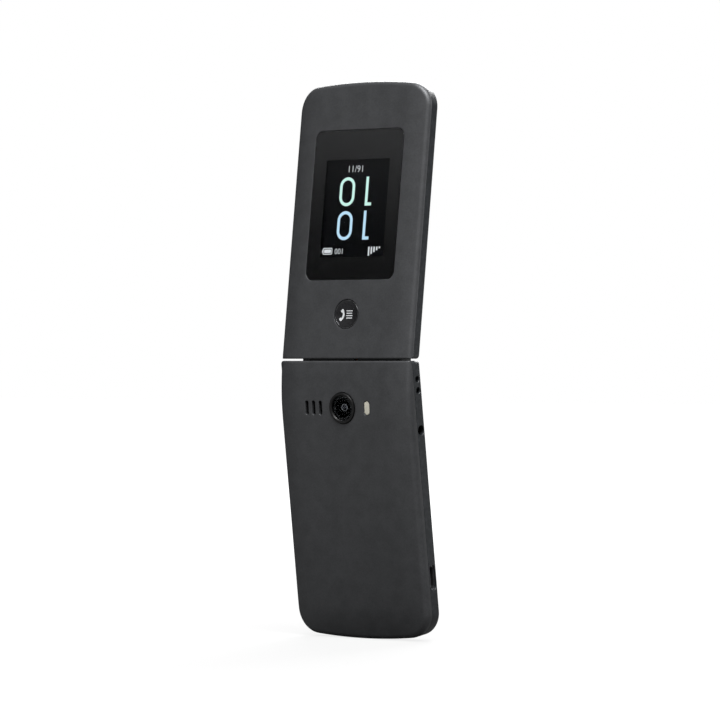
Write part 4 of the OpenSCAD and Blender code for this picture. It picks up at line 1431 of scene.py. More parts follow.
@dataclass(frozen=True)
class Cover:
    """The curved outer cover of one half."""

    half: Half
    name: str
    node: str
    wall: float = 1.1
    lip: float = 0.16
    openings: tuple[Contour, ...] = ()
    window: RoundRect | None = None
    display: RoundRect | None = None
    seat: float = 5.5

    def inner(self, x: np.ndarray, u: np.ndarray) -> np.ndarray:
        """Height of the inner face."""
        return self.half.face(x, u, self.wall)

    def draft(self) -> Skin:
        """Drafts the shell: edge, outer face, openings, inner face and rim.

        Returns:
            The draft.
        """
        half, skin = self.half, Skin(self.half)
        low = half.split + half.fit_gap
        rings = [
            skin.ring(half.outline(self.wall), low),
            skin.ring(half.outline(0.14), low, 0.3),
            skin.ring(half.outline(0.04), low + 0.04, 0.7),
            skin.ring(half.outline(0.0), low + 0.14, 0.5),
        ]
        for i, (inset, _) in enumerate(quarter(half.edge_r, 11)):
            rub = max(0.0, 1 - abs(i - 3) / 4)
            rings.append(skin.ring(half.outline(inset), half.face, rub))
        rings.append(skin.ring(half.outline(half.edge_r + 0.7), half.face))
        skin.run(rings)
        tops, bottoms = [], []
        for contour in self.openings:
            lips = skin.lip(contour, half.face, self.lip / (1 if isinstance(contour, RoundRect) else 2))
            bottom = skin.ring(contour.at(0), self.inner)
            skin.bridge(lips[-1], bottom)
            tops.append(lips[0])
            bottoms.append(bottom)
        if self.window and self.display:
            lips = skin.lip(self.window, half.face, 0.12)
            seat = skin.bridge(lips[-1], skin.ring(self.window.at(0), self.seat))
            edge = skin.ring(self.display.at(0), self.seat)
            bottom = skin.bridge(edge, skin.ring(self.display.at(0), self.inner))
            skin.fill(seat, [edge], self.seat, 3)
            tops.append(lips[0])
            bottoms.append(bottom)
        skin.fill(rings[-1], tops, half.face, 0.9)
        within = [rings[0]]
        for inset, _ in quarter(half.edge_r - self.wall, 4):
            within.append(skin.ring(half.outline(self.wall + inset), self.inner))
        skin.run(within)
        skin.fill(within[-1], bottoms, self.inner, 2.5)
        return skin

    def build(self, tools: Sequence[Piece] = ()) -> Piece:
        """Makes and dresses the cover, less the tools.

        Args:
            tools: closed meshes that are cut from it.

        Returns:
            The new object.
        """
        obj = self.draft().build(self.name, lean=True)
        if tools:
            Shop.cut(obj, tools)
        Shop.weighted(obj, 35)
        body = "battery_cover" if self.half.along < 0 else "lid"
        return Shop.hand_over(obj, body, Look.COVER, "cover_grey", self.node)


@dataclass(frozen=True)
class Pocket:
    """A recess in a front plate: down to a floor, and on through a smaller opening."""

    contour: Contour
    floor: float
    through: tuple[Contour, ...] = ()
    lip: float = 0.12
    fillet: float = 0.0


@dataclass(frozen=True)
class Frame:
    """The side walls and front plate of one half."""

    half: Half
    name: str
    node: str
    plate_in: float
    side_wall: float = 1.5
    web: float = 5.75
    edge: float = 0.5
    pockets: tuple[Pocket, ...] = ()
    holes: tuple[Contour, ...] = ()

    def draft(self) -> Skin:
        """Drafts the walls, the front plate and what is sunk into it.

        Returns:
            The draft.
        """
        half, skin = self.half, Skin(self.half)
        front, top = half.rim_gap, half.split
        rings = []
        for i, (rise, inset) in enumerate(quarter(self.edge, 6)):
            rings.append(skin.ring(half.outline(inset), front + rise, 1.0 if 1 < i < 5 else 0.3))
        rings.append(skin.ring(half.outline(0), top - 0.14, 0.4))
        rings.append(skin.ring(half.outline(0.04), top - 0.04, 0.7))
        rings.append(skin.ring(half.outline(0.14), top, 0.3))
        rings.append(skin.ring(half.outline(self.side_wall, self.web), top))
        rings.append(skin.ring(half.outline(self.side_wall, self.web), self.plate_in))
        skin.run(rings)
        tops, bottoms = [], []
        for pocket in self.pockets:
            lips = self.sunk(skin, pocket.contour, front, pocket.lip)
            floor = skin.bridge(lips[-1], skin.ring(pocket.contour.at(0), pocket.floor - pocket.fillet))
            for inset, fall in quarter(pocket.fillet, 4, 1) if pocket.fillet else ():
                floor = skin.bridge(floor, skin.ring(pocket.contour.at(inset), pocket.floor - fall))
            edges = []
            for contour in pocket.through:
                small = self.sunk(skin, contour, pocket.floor, 0.08, 3)
                bottoms.append(skin.bridge(small[-1], skin.ring(contour.at(0), self.plate_in)))
                edges.append(small[0])
            skin.fill(floor, edges, pocket.floor, 3)
            tops.append(lips[0])
        for contour in self.holes:
            lips = self.sunk(skin, contour, front, 0.2)
            bottoms.append(skin.bridge(lips[-1], skin.ring(contour.at(0), self.plate_in)))
            tops.append(lips[0])
        skin.fill(rings[0], tops, front, 2.5)
        skin.fill(rings[-1], bottoms, self.plate_in, 4)
        return skin

    @staticmethod
    def sunk(skin: Skin, contour: Contour, level: float, radius: float, count: int = 4) -> list[Ring]:
        """Rings of a rounded lip that leads from a front face into the half.

        Args:
            skin: the draft they are added to.
            contour: the opening.
            level: height of the face round it.
            radius: the lip's radius.
            count: number of steps round the lip.

        Returns:
            The rings, of which the first lies in the face.
        """
        rings = skin.lip(contour, -level, radius, count)
        for ring in rings:
            for i in ring:
                x, u, v = skin.points[i]
                skin.points[i] = (x, u, -v)
        return rings

    def build(self, cuts: Sequence[Piece], knuckle: Piece) -> Piece:
        """Makes and dresses the frame.

        Args:
            cuts: what is cut from it.
            knuckle: the hinge's knuckle, which is joined on.

        Returns:
            The new object.
        """
        obj = Shop.cut(self.draft().build(self.name, lean=True), cuts)
        Shop.weighted(Shop.cut(obj, [knuckle], "UNION"))
        return Shop.hand_over(obj, self.half.body, Look.FRAME, "frame_dark", self.node)


# ------------------------------------------------------------------ geometry node trees


class Repeats:
    """Geometry Nodes trees for the things that repeat."""

    @staticmethod
    def start(name: str, inputs: dict[str, tuple[str, object]]) -> tuple[Wiring, Node]:
        """Starts a geometry group.

        Args:
            name: the group's name.
            inputs: its inputs, each with a socket type and a default value.

        Returns:
            The wiring and the group's input node.
        """
        tree = bpy.data.node_groups.new(name, "GeometryNodeTree")
        tree.interface.new_socket("Geometry", in_out="INPUT", socket_type="NodeSocketGeometry")
        for key, (kind, value) in inputs.items():
            socket = tree.interface.new_socket(key, in_out="INPUT", socket_type=kind)
            if value is not None:
                socket.default_value = value
        tree.interface.new_socket("Geometry", in_out="OUTPUT", socket_type="NodeSocketGeometry")
        wiring = Wiring(tree)
        return wiring, wiring.put("NodeGroupInput")

    @staticmethod
    def close(w: Wiring, given: Node, geometry: Socket) -> Tree:
        """Ends a group in Realize Instances and Set Material.

        Args:
            w: the group's wiring.
            given: the group's input node.
            geometry: the geometry that it gives out.

        Returns:
            The finished group.
        """
        real = w.put("GeometryNodeRealizeInstances", {0: geometry})
        both = {"Geometry": real.outputs[0], "Material": given.outputs["Material"]}
        dress = w.put("GeometryNodeSetMaterial", both)
        w.put("NodeGroupOutput", {0: dress.outputs[0]})
        return w.tree

    @staticmethod
    def lifted(w: Wiring, node: Node, height: Socket) -> Node:
        """Moves a node's geometry along z."""
        rise = w.put("ShaderNodeCombineXYZ", {2: height}).outputs[0]
        return w.put("GeometryNodeTransform", {"Geometry": node.outputs[0], "Translation": rise})

    @staticmethod
    @lru_cache(maxsize=None)
    def screws() -> Tree:
        """A cross-recessed screw at every point, all turned by the one Turn input.

        Returns:
            The group, made once.
        """
        w, given = Repeats.start(
            "screws_on_points",
            {
                "Head Radius": ("NodeSocketFloat", 0.0014),
                "Head Height": ("NodeSocketFloat", 0.0007),
                "Recess Length": ("NodeSocketFloat", 0.0016),
                "Recess Width": ("NodeSocketFloat", 0.0003),
                "Recess Depth": ("NodeSocketFloat", 0.0003),
                "Shank Radius": ("NodeSocketFloat", 0.0006),
                "Shank Length": ("NodeSocketFloat", 0.003),
                "Turn": ("NodeSocketVector", (0.0, 0.0, 0.0)),
                "Material": ("NodeSocketMaterial", None),
            },
        )
        g = given.outputs
        bevel = w.maths("MULTIPLY", g["Head Height"], 0.3)
        body_h = w.maths("SUBTRACT", g["Head Height"], bevel)
        drum = {"Vertices": 48, "Radius": g["Head Radius"], "Depth": body_h}
        low_z = w.maths("SUBTRACT", w.maths("MULTIPLY", body_h, -0.5), bevel)
        body = Repeats.lifted(w, w.put("GeometryNodeMeshCylinder", drum), low_z)
        cone = {
            "Vertices": 48,
            "Radius Top": w.maths("SUBTRACT", g["Head Radius"], bevel),
            "Radius Bottom": g["Head Radius"],
            "Depth": bevel,
        }
        top = Repeats.lifted(w, w.put("GeometryNodeMeshCone", cone), w.maths("MULTIPLY", bevel, -1.0))
        head = w.put("GeometryNodeMeshBoolean", {}, operation="UNION", solver="EXACT")
        w.tree.links.new(top.outputs[0], head.inputs["Mesh 2"])
        w.tree.links.new(body.outputs[0], head.inputs["Mesh 2"])
        depth2 = w.maths("MULTIPLY", g["Recess Depth"], 2.0)
        arms = []
        for pair in (("Recess Length", "Recess Width"), ("Recess Width", "Recess Length")):
            size = w.put("ShaderNodeCombineXYZ", {0: g[pair[0]], 1: g[pair[1]], 2: depth2})
            arms.append(w.put("GeometryNodeMeshCube", {"Size": size.outputs[0]}))
        given_head = {"Mesh 1": head.outputs[0]}
        cut = w.put("GeometryNodeMeshBoolean", given_head, operation="DIFFERENCE", solver="EXACT")
        for arm in arms:
            w.tree.links.new(arm.outputs[0], cut.inputs["Mesh 2"])
        rod = {"Vertices": 24, "Radius": g["Shank Radius"], "Depth": g["Shank Length"]}
        below = w.maths("SUBTRACT", w.maths("MULTIPLY", g["Shank Length"], -0.5), g["Head Height"])
        shank = Repeats.lifted(w, w.put("GeometryNodeMeshCylinder", rod), w.maths("ADD", below, 0.00002))
        whole = w.put("GeometryNodeJoinGeometry")
        w.tree.links.new(cut.outputs[0], whole.inputs[0])
        w.tree.links.new(shank.outputs[0], whole.inputs[0])
        placed = w.put(
            "GeometryNodeInstanceOnPoints",
            {"Points": g["Geometry"], "Instance": whole.outputs[0], "Rotation": g["Turn"]},
        )
        return Repeats.close(w, given, placed.outputs[0])

    @staticmethod
    @lru_cache(maxsize=None)
    def wire_cloth() -> Tree:
        """Woven wire: two layers of round wires across a rectangle, at a pitch.

        Returns:
            The group, made once.
        """
        w, given = Repeats.start(
            "wire_cloth",
            {
                "Width": ("NodeSocketFloat", 0.008),
                "Length": ("NodeSocketFloat", 0.006),
                "Pitch": ("NodeSocketFloat", 0.00035),
                "Wire": ("NodeSocketFloat", 0.00008),
                "Material": ("NodeSocketMaterial", None),
            },
        )
        g = given.outputs
        layers = w.put("GeometryNodeJoinGeometry")
        for long, wide, turn, lift in (
            ("Width", "Length", (0.0, math.pi / 2, 0.0), 0.6),
            ("Length", "Width", (math.pi / 2, 0.0, 0.0), -0.6),
        ):
            rod = {"Vertices": 8, "Radius": g["Wire"], "Depth": g[long]}
            wire = w.put("GeometryNodeMeshCylinder", rod)
            turned = w.put("GeometryNodeTransform", {"Geometry": wire.outputs[0], "Rotation": turn})
            count = w.maths("ADD", w.maths("FLOOR", w.maths("DIVIDE", g[wide], g["Pitch"])), 1.0)
            steps = w.maths("SUBTRACT", count, 1.0)
            start = w.maths("MULTIPLY", steps, w.maths("MULTIPLY", g["Pitch"], -0.5))
            axis = 1 if long == "Width" else 0
            begin = w.put("ShaderNodeCombineXYZ", {axis: start, 2: w.maths("MULTIPLY", g["Wire"], lift)})
            step = w.put("ShaderNodeCombineXYZ", {axis: g["Pitch"]})
            row = {"Count": count, "Start Location": begin.outputs[0], "Offset": step.outputs[0]}
            line = w.put("GeometryNodeMeshLine", row)
            both = {"Points": line.outputs[0], "Instance": turned.outputs[0]}
            placed = w.put("GeometryNodeInstanceOnPoints", both)
            w.tree.links.new(placed.outputs[0], layers.inputs[0])
        return Repeats.close(w, given, layers.outputs[0])

    @staticmethod
    def make(
        name: str,
        tree: Tree,
        values: dict[str, object],
        place: Matrix | None = None,
        points: np.ndarray | None = None,
    ) -> Piece:
        """Runs a tree and keeps its result as a plain mesh.

        Args:
            name: the object's name.
            tree: the geometry group.
            values: values of its named inputs.
            place: where its result goes, if it is made at the origin.
            points: points in metres that it works on.

        Returns:
            The new object, at the origin.
        """
        mesh = bpy.data.meshes.new(name)
        mesh.from_pydata([] if points is None else points.tolist(), [], [])
        obj = Shop.add(name, mesh)
        step = obj.modifiers.new("repeat", "NODES")
        step.node_group = tree
        for item in tree.interface.items_tree:
            if item.item_type == "SOCKET" and item.in_out == "INPUT" and item.name in values:
                step[item.identifier] = values[item.name]
        Shop.baked(obj)
        if place is not None:
            obj.data.transform(place)
        return Shop.smooth(Shop.outward(obj), 30)

    @staticmethod
    def cloth(name: str, sizes: tuple[float, float, float, float], place: Matrix) -> Piece:
        """A rectangle of wire cloth.

        Args:
            name: the object's name.
            sizes: its width, length, pitch and wire radius in metres.
            place: where it goes.

        Returns:
            The new object.
        """
        values = dict(zip(("Width", "Length", "Pitch", "Wire"), sizes))
        return Repeats.make(name, Repeats.wire_cloth(), {**values, "Material": dressed(Look.WIRE)}, place)


def half_matrix(half: Half, x: float, u: float, v: float, near: int = 1) -> Matrix:
    """Turns a piece made at the origin to lie on a half.

    Args:
        half: the half that carries it.
        x: where its origin goes along x.
        u: where its origin goes along u.
        v: where its origin goes along v.
        near: 1 if its z runs outwards, and -1 if it runs towards the front.

    Returns:
        The matrix, without any mirroring.
    """
    z = half.outward() * near
    side = Vector((1, 0, 0))
    up = z.cross(side)
    spot = Vector(half.place(np.array([[x, u, v]]))[0])
    turn = Matrix((side, up, z)).transposed().to_4x4()
    return Matrix.Translation(spot) @ turn


# ------------------------------------------------------------------ sub-assemblies


@dataclass(frozen=True)
class Shells:
    """The two covers and the two frames, with the hinge's knuckles."""

    base: Half
    lid: Half
    barrel_r: float = 3.9
    barrel_lo: float = -22.4
    barrel_hi: float = 19.8
    seam_lo: float = -4.6
    seam_hi: float = -2.6
    pocket_gap: float = 0.35
    deck: RoundRect = RoundRect(0, 56.325, 46.8, 60.25, 4)
    keys: tuple["KeyPlace", ...] = ()

    def room(self, half: Half, x0: float, x1: float) -> Piece:
        """The room that one half leaves for the other's knuckle.

        Args:
            half: the half that leaves the room.
            x0: its lower end along x.
            x1: its upper end along x.

        Returns:
            The cutter, as a closed mesh.
        """
        r = self.barrel_r + self.pocket_gap
        section = [(r * math.cos(a), r * math.sin(a)) for a in np.linspace(-math.pi / 2, 0, 25)]
        section += [(r, half.split + 1), (-r - 1, half.split + 1), (-r - 1, -r)]
        return prism(half, "room", section, x0, x1)

    def knuckle(
        self, half: Half, x0: float, x1: float, bore: float, web: float, top: float
    ) -> Piece:
        """A knuckle with the web that joins it to its half.

        Args:
            half: the half that carries it.
            x0: its lower end along x.
            x1: its upper end along x.
            bore: radius of the bore at the seam.
            web: how far the web reaches along u.
            top: height of the web.

        Returns:
            The closed mesh.
        """
        r, c = self.barrel_r, 0.25
        profile = [(x0, 0.001), (x0, r - c), (x0 + c * 0.3, r - c * 0.3), (x0 + c, r)]
        profile += [(x1 - c, r), (x1 - c * 0.3, r - c * 0.3), (x1, r - c), (x1, 0.001)]
        drum = x_lathe(half, "drum", 0, 0, profile)
        section = [(0, half.rim_gap), (web, half.rim_gap), (web, top), (0, top)]
        arm = prism(half, "web", section, x0 + 0.05, x1 - 0.05)
        Shop.cut(drum, [arm], "UNION")
        inner = (x0 - 1, x0 + 3.5) if half.along < 0 else (x1 - 3.5, x1 + 1)
        hole = x_lathe(half, "bore", 0, 0, [(inner[0], bore), (inner[1], bore)], 64)
        return Shop.cut(drum, [hole])

    @staticmethod
    def mouth(half: Half, depth: float, flare: float) -> Path:
        """Levels of a side opening at -x: place along x, and how far its mouth widens it there.

        Args:
            half: the half that it opens.
            depth: how far it reaches inwards.
            flare: radius of its edge.

        Returns:
            Place along x and widening of each level.
        """
        edge = -half.width / 2
        levels = [(edge - 0.6, flare + 0.6), (edge - 0.02, flare)]
        levels += [(edge + flare - fall, fall) for _, fall in quarter(flare, 5, 1)]
        return [*levels, (edge + depth, 0.0)]

    def flared(
        self, half: Half, u: float, v: float, r: float, depth: float, flare: float = 0.15
    ) -> Piece:
        """A cutter for a round side opening at -x whose mouth is rounded."""
        profile = [(x, r + grow) for x, grow in self.mouth(half, depth, flare)]
        return x_lathe(half, "side_cut", u, v, profile, 48)

    def stadium(self, half: Half, u: float, v: float, w: float, h: float, depth: float) -> Piece:
        """A cutter for the charging socket's opening at -x, with a rounded mouth.

        Args:
            half: the half that carries it.
            u: the opening's place along u.
            v: the opening's place along v.
            w: its length along u.
            h: its height along v.
            depth: how far the opening reaches inwards.

        Returns:
            The cutter, as a closed mesh.
        """
        shape = RoundRect(0, 0, w, h, h / 2 - 0.01, 10, 0.6)
        levels = self.mouth(half, depth, 0.15)
        loops = [[(x, u + a, v + b) for a, b in shape.at(-grow).tolist()] for x, grow in levels]
        return tube(half, "socket_cut", loops)

    def base_cover(self) -> Piece:
        """The battery cover, with openings for camera, flash and loudspeaker.

        Returns:
            The new object.
        """
        slots = (RoundRect(SPEAKER_X + 3 * i, CAMERA_U, 1.4, 5.1, 0.69, 8, 0.6) for i in (-1, 0, 1))
        flash = RoundRect(FLASH_X, CAMERA_U, 2.5, 5.1, 1.24, 8, 0.6)
        openings = (Circle(0, CAMERA_U, 5.65, 72), flash, *slots)
        return Cover(self.base, "BatteryCover", "battery_cover", openings=openings).build()

    def lid_cover(self) -> Piece:
        """The lid's cover, with its window seat and the round key's opening.

        Returns:
            The new object.
        """
        ends = (self.barrel_lo - self.pocket_gap, self.barrel_hi + self.pocket_gap)
        drum = x_lathe(self.lid, "drum", 0, 0, [(x, self.barrel_r + self.pocket_gap) for x in ends])
        cover = Cover(
            self.lid, "LidCover", "lid_outer_cover", openings=(Circle(0, OUTER_KEY_U, 5.35, 72),),
            window=RoundRect(0, 54.7, 39.1, 54.1, 3.05, 10),
            display=RoundRect(0, OUTER_SCREEN_U, 29, 36, 0.6, 4),
        )
        return cover.build([drum])

    def base_frame(self) -> Piece:
        """The keypad housing, with its deck, key openings, sockets and knuckle.

        Returns:
            The new object.
        """
        half = self.base
        through = tuple(key.opening() for key in self.keys)
        shell = Frame(
            half, "KeypadHousing", "base_front_housing", 1.3,
            pockets=(Pocket(self.deck, 0.7, through, 0.15, 0.15),),
            holes=(Circle(0, MICROPHONE_U, 0.5, 24),),
        )
        cuts = [self.room(half, self.barrel_lo - self.pocket_gap, self.barrel_hi)]
        bore = x_lathe(half, "jack_room", JACK_U, JACK_V, [(-27.5, 2.0), (-15, 2.0)], 48)
        cuts += [self.flared(half, JACK_U, JACK_V, 1.75, 2.5), bore]
        cuts += [self.stadium(half, 77, 2.5, 8.9, 3.2, 2.2)]
        cuts += [self.flared(half, u, half.split / 2, 1.1, 3.0, 0.2) for u in (6.6, 10.6)]
        channel = [(5.2, 1.15), (12.0, 1.15), (12.0, 3.35), (5.2, 3.35)]
        cuts.append(prism(half, "strap_room", channel, -27.4, -25.9))
        knuckle = self.knuckle(half, self.seam_hi, self.barrel_hi, 2.4, 5.9, 3.9)
        return shell.build(cuts, knuckle)

    def lid_frame(self) -> Piece:
        """The lid's frame, with the main window's seat, earpiece, screw and bumper recesses.

        Returns:
            The new object.
        """
        half = self.lid
        opening = RoundRect(0, MAIN_SCREEN_U, 44.8, 59.2, 0.8, 4)
        seat = Pocket(RoundRect(0, MAIN_SCREEN_U, 51.1, 73.1, 2.5, 10), 1.05, (opening,), 0.12)
        wells = [
            Pocket(Circle(x, u, 1.6, 40), 1.2, (Circle(x, u, 0.7, 24),), 0.15)
            for u in LID_ROWS for x in (-SCREW_X, SCREW_X)
        ]
        beds = [
            Pocket(Circle(x, u, 1.55, 40), 0.8, (), 0.15) for u in LID_ROWS for x in (-BUMPER_X, BUMPER_X)
        ]
        shell = Frame(
            half, "LidFrame", "lid_inner_frame", 1.5, pockets=(seat, *wells, *beds),
            holes=(RoundRect(0, EARPIECE_U, 10, 1.4, 0.69, 8, 0.6),),
        )
        cuts = [self.room(half, self.barrel_lo, self.barrel_hi + self.pocket_gap)]
        knuckle = self.knuckle(half, self.barrel_lo, self.seam_lo, 3.0, 5.9, 3.6)
        return shell.build(cuts, knuckle)

    def build(self) -> None:
        """Makes all four shells."""
        self.base_cover()
        self.lid_cover()
        self.base_frame()
        self.lid_frame()


@dataclass(frozen=True)
class Window:
    """A cover glass over its black printed border, which is open over the lit area."""

    lid: Half
    name: str
    node: str
    outline: RoundRect
    lit: RoundRect
    front: float
    back: float
    glass_t: float = 0.17
    step: float = 0.015

    def glass(self) -> Piece:
        """The cover glass, with its polished edge.

        Returns:
            The new object.
        """
        near = 1 if self.front > self.back else -1
        o = self.outline
        shape = RoundRect(o.x, o.u, o.w - 0.16, o.l - 0.16, o.r - 0.08, 10)
        obj = pad(self.lid, self.name, shape, self.front - near * self.glass_t, self.front, 0.09, 0, 0.03)
        return Shop.hand_over(obj, "lid", Look.GLASS, "window_black", self.node)

    def mask(self) -> Piece:
        """The printed border behind the glass and round its edge.

        Returns:
            The new object.
        """
        near = 1 if self.front > self.back else -1
        level = self.front - near * (self.glass_t + self.step)
        skin = Skin(self.lid)
        rings = [
            skin.ring(self.outline.at(0.07), level),
            skin.ring(self.outline.at(0.07), self.front - near * 0.09),
            skin.ring(self.outline.at(0.01), self.front - near * 0.05),
            skin.ring(self.outline.at(0.0), self.back),
        ]
        edge = [skin.ring(self.lit.at(0), level), skin.ring(self.lit.at(0), self.back)]
        skin.run(rings)
        skin.run(edge)
        skin.fill(rings[0], [edge[0]], level, 6)
        skin.fill(rings[-1], [edge[1]], self.back, 6)
        return Shop.hand_over(skin.build(self.name + "Mask"), "lid", Look.MASK, "window_black")

    def build(self) -> None:
        """Makes the glass and its border."""
        self.glass()
        self.mask()


@dataclass(frozen=True)
class OuterDisplay:
    """The outer window and the lit display behind it."""

    lid: Half
    window: RoundRect = RoundRect(0, 54.7, 39, 54, 3, 10)
    lit: RoundRect = RoundRect(0, OUTER_SCREEN_U, 28, 35, 0.4, 3)
    top: float = 6.35
    back: float = 5.55
    digit_h: float = 10.4
    digit_w: float = 6.7
    line: float = 1.12

    def panel(self) -> Piece:
        """The display panel.

        Returns:
            The new object.
        """
        shape = RoundRect(0, OUTER_SCREEN_U, 31, 40, 0.5, 3)
        obj = pad(self.lid, "OuterDisplayPanel", shape, 4.15, 5.25, 0.08)
        return Shop.hand_over(obj, "lid", Look.PANEL, "display_panel", "outer_display")

    def sheet(self) -> Decal:
        """A fresh decal on the panel, read with the phone turned half round."""
        return Decal(self.lid, 0, OUTER_SCREEN_U, 5.255, TURNED_OUTSIDE, 0.02)

    def nought(self, decal: Decal, a: float, b: float) -> None:
        """Draws a tall nought centred at a, b."""
        wide, high = self.digit_w - self.line, self.digit_h - self.line
        decal.loop(a, b, wide, high, wide / 2 - 0.01, self.line)

    def one(self, decal: Decal, a: float, b: float) -> None:
        """Draws a one with a short flag, its stem centred at a.

        Args:
            decal: the decal that it is drawn on.
            a: its stem's centre along the reader's right.
            b: its centre along the reader's up.
        """
        top = b + self.digit_h / 2
        decal.box(a, b, self.line, self.digit_h)
        decal.box(a - self.line * 1.25, top - self.line / 2, self.line * 1.5, self.line)

    def digits(self) -> None:
        """The two rows of large numerals."""
        for name, b, finish in (("HourDigits", 6.1, Look.ICE), ("MinuteDigits", -6.1, Look.MINT)):
            decal = self.sheet()
            self.one(decal, -4.2, b)
            self.nought(decal, 4.5, b)
            obj = decal.build(name)
            Shop.hand_over(obj, "lid", finish, "display_panel")

    def small(self) -> None:
        """The small numerals and signs: a short line, a battery and reception bars."""
        decal = self.sheet()
        decal.words("16/11", 3.5, 1.4, -14.4, -0.01, 0.95)
        decal.words("100", 2.9, 6.1, 15.2, -0.01, 0.95)
        decal.loop(11.3, 15.2, 3.9, 2.1, 0.35, 0.3)
        decal.box(11.3, 15.2, 3.0, 1.25, 0.15)
        decal.box(13.5, 15.2, 0.35, 0.9)
        for i in range(5):
            decal.box(-11.6 + 1.15 * i, 13.9 + 0.32 * (i + 1), 0.62, 0.64 * (i + 1))
        obj = decal.build("SmallSigns")
        Shop.hand_over(obj, "lid", Look.WHITE, "display_panel")

    def build(self) -> None:
        """Makes the display group."""
        Window(self.lid, "OuterWindow", "outer_window", self.window, self.lit, self.top, self.back).build()
        self.panel()
        self.digits()
        self.small()


@dataclass(frozen=True)
class OuterKey:
    """The round dished key on the lid, with its printed sign."""

    lid: Half
    u: float = OUTER_KEY_U
    r: float = 5.2
    dish: float = 0.35
    top: float = 6.35

    def floor(self, x: np.ndarray, u: np.ndarray) -> np.ndarray:
        """Height of the dished face."""
        reach = self.r - 0.45
        return self.top - 0.06 - self.dish * (1 - np.clip(np.hypot(x, u - self.u) / reach, 0, 1) ** 2)

    def cap(self) -> Piece:
        """The key itself: a flange, a rounded rim and a dished face.

        Returns:
            The new object.
        """
        skin = Skin(self.lid)
        profile = [(self.r + 0.5, 4.9), (self.r + 0.5, 5.2), (self.r, 5.22), (self.r, self.top - 0.2)]
        profile += [(self.r - inset, self.top - fall) for inset, fall in quarter(0.2, 5, 1)]
        profile += [(self.r - 0.36, self.top), (self.r - 0.42, self.top - 0.03)]
        rings = [skin.ring(Circle(0, self.u, r, 96).at(0), v, 0.8 if v > 6.2 else 0) for r, v in profile]
        skin.run(rings)
        circles = [Circle(0, self.u, self.r - 0.45 - 0.25 * k, 96) for k in range(18)]
        dish = [skin.ring(circle.at(0), self.floor) for circle in circles]
        skin.bridge(rings[-1], dish[0])
        skin.run(dish)
        skin.fill(dish[-1], [], self.floor, 0.5)
        skin.fill(rings[0], [], 4.9, 3)
        obj = skin.build("OuterKey", angle=40)
        spot = Vector(self.lid.place(np.array([[0, self.u, 0]]))[0])
        finish = TurnedFinish(
            "outer_key_gloss", srgb(54, 54, 56), roughness=0.2, metallic=0.9, coat=0.3, grain=0.15,
            depth=0.0035, worn=srgb(120, 120, 122), wear=0.5, centre=tuple(spot),
            axis=tuple(self.lid.outward()), pitch=0.16, cut=3.0, smear=0.05,
        )
        return Shop.hand_over(obj, "outer_key", finish, "outer_key_gloss", "outer_key")

    def sign(self) -> Piece:
        """The printed sign: a handset and three lines.

        Returns:
            The new object.
        """
        decal = Decal(self.lid, 0, self.u, self.floor, TURNED_OUTSIDE, 0.02)
        arc = [(3.0 - 1.6 * math.cos(a), 0.1 + 1.9 * math.sin(a)) for a in np.linspace(-0.75, 1.15, 17)]
        decal.stroke(arc, 0.7)
        for end, turn in ((arc[0], 0.9), (arc[-1], -0.7)):
            c, s = math.cos(turn), math.sin(turn)
            knob = RoundRect(0, 0, 1.2, 0.95, 0.3, 4, 99).at(0)
            decal.patch([(end[0] + 0.15 + a * c - b * s, end[1] + a * s + b * c) for a, b in knob])
        for i in range(4):
            decal.box(-1.1, 0.85 * (i - 1.5) + 0.1, 2.8 - 0.25 * (i % 2), 0.34, 0.1)
        obj = decal.build("OuterKeySign")
        return Shop.hand_over(obj, "outer_key", Look.PRINT, "outer_key_gloss")

    def build(self) -> None:
        """Makes the key and its sign."""
        self.cap()
        self.sign()


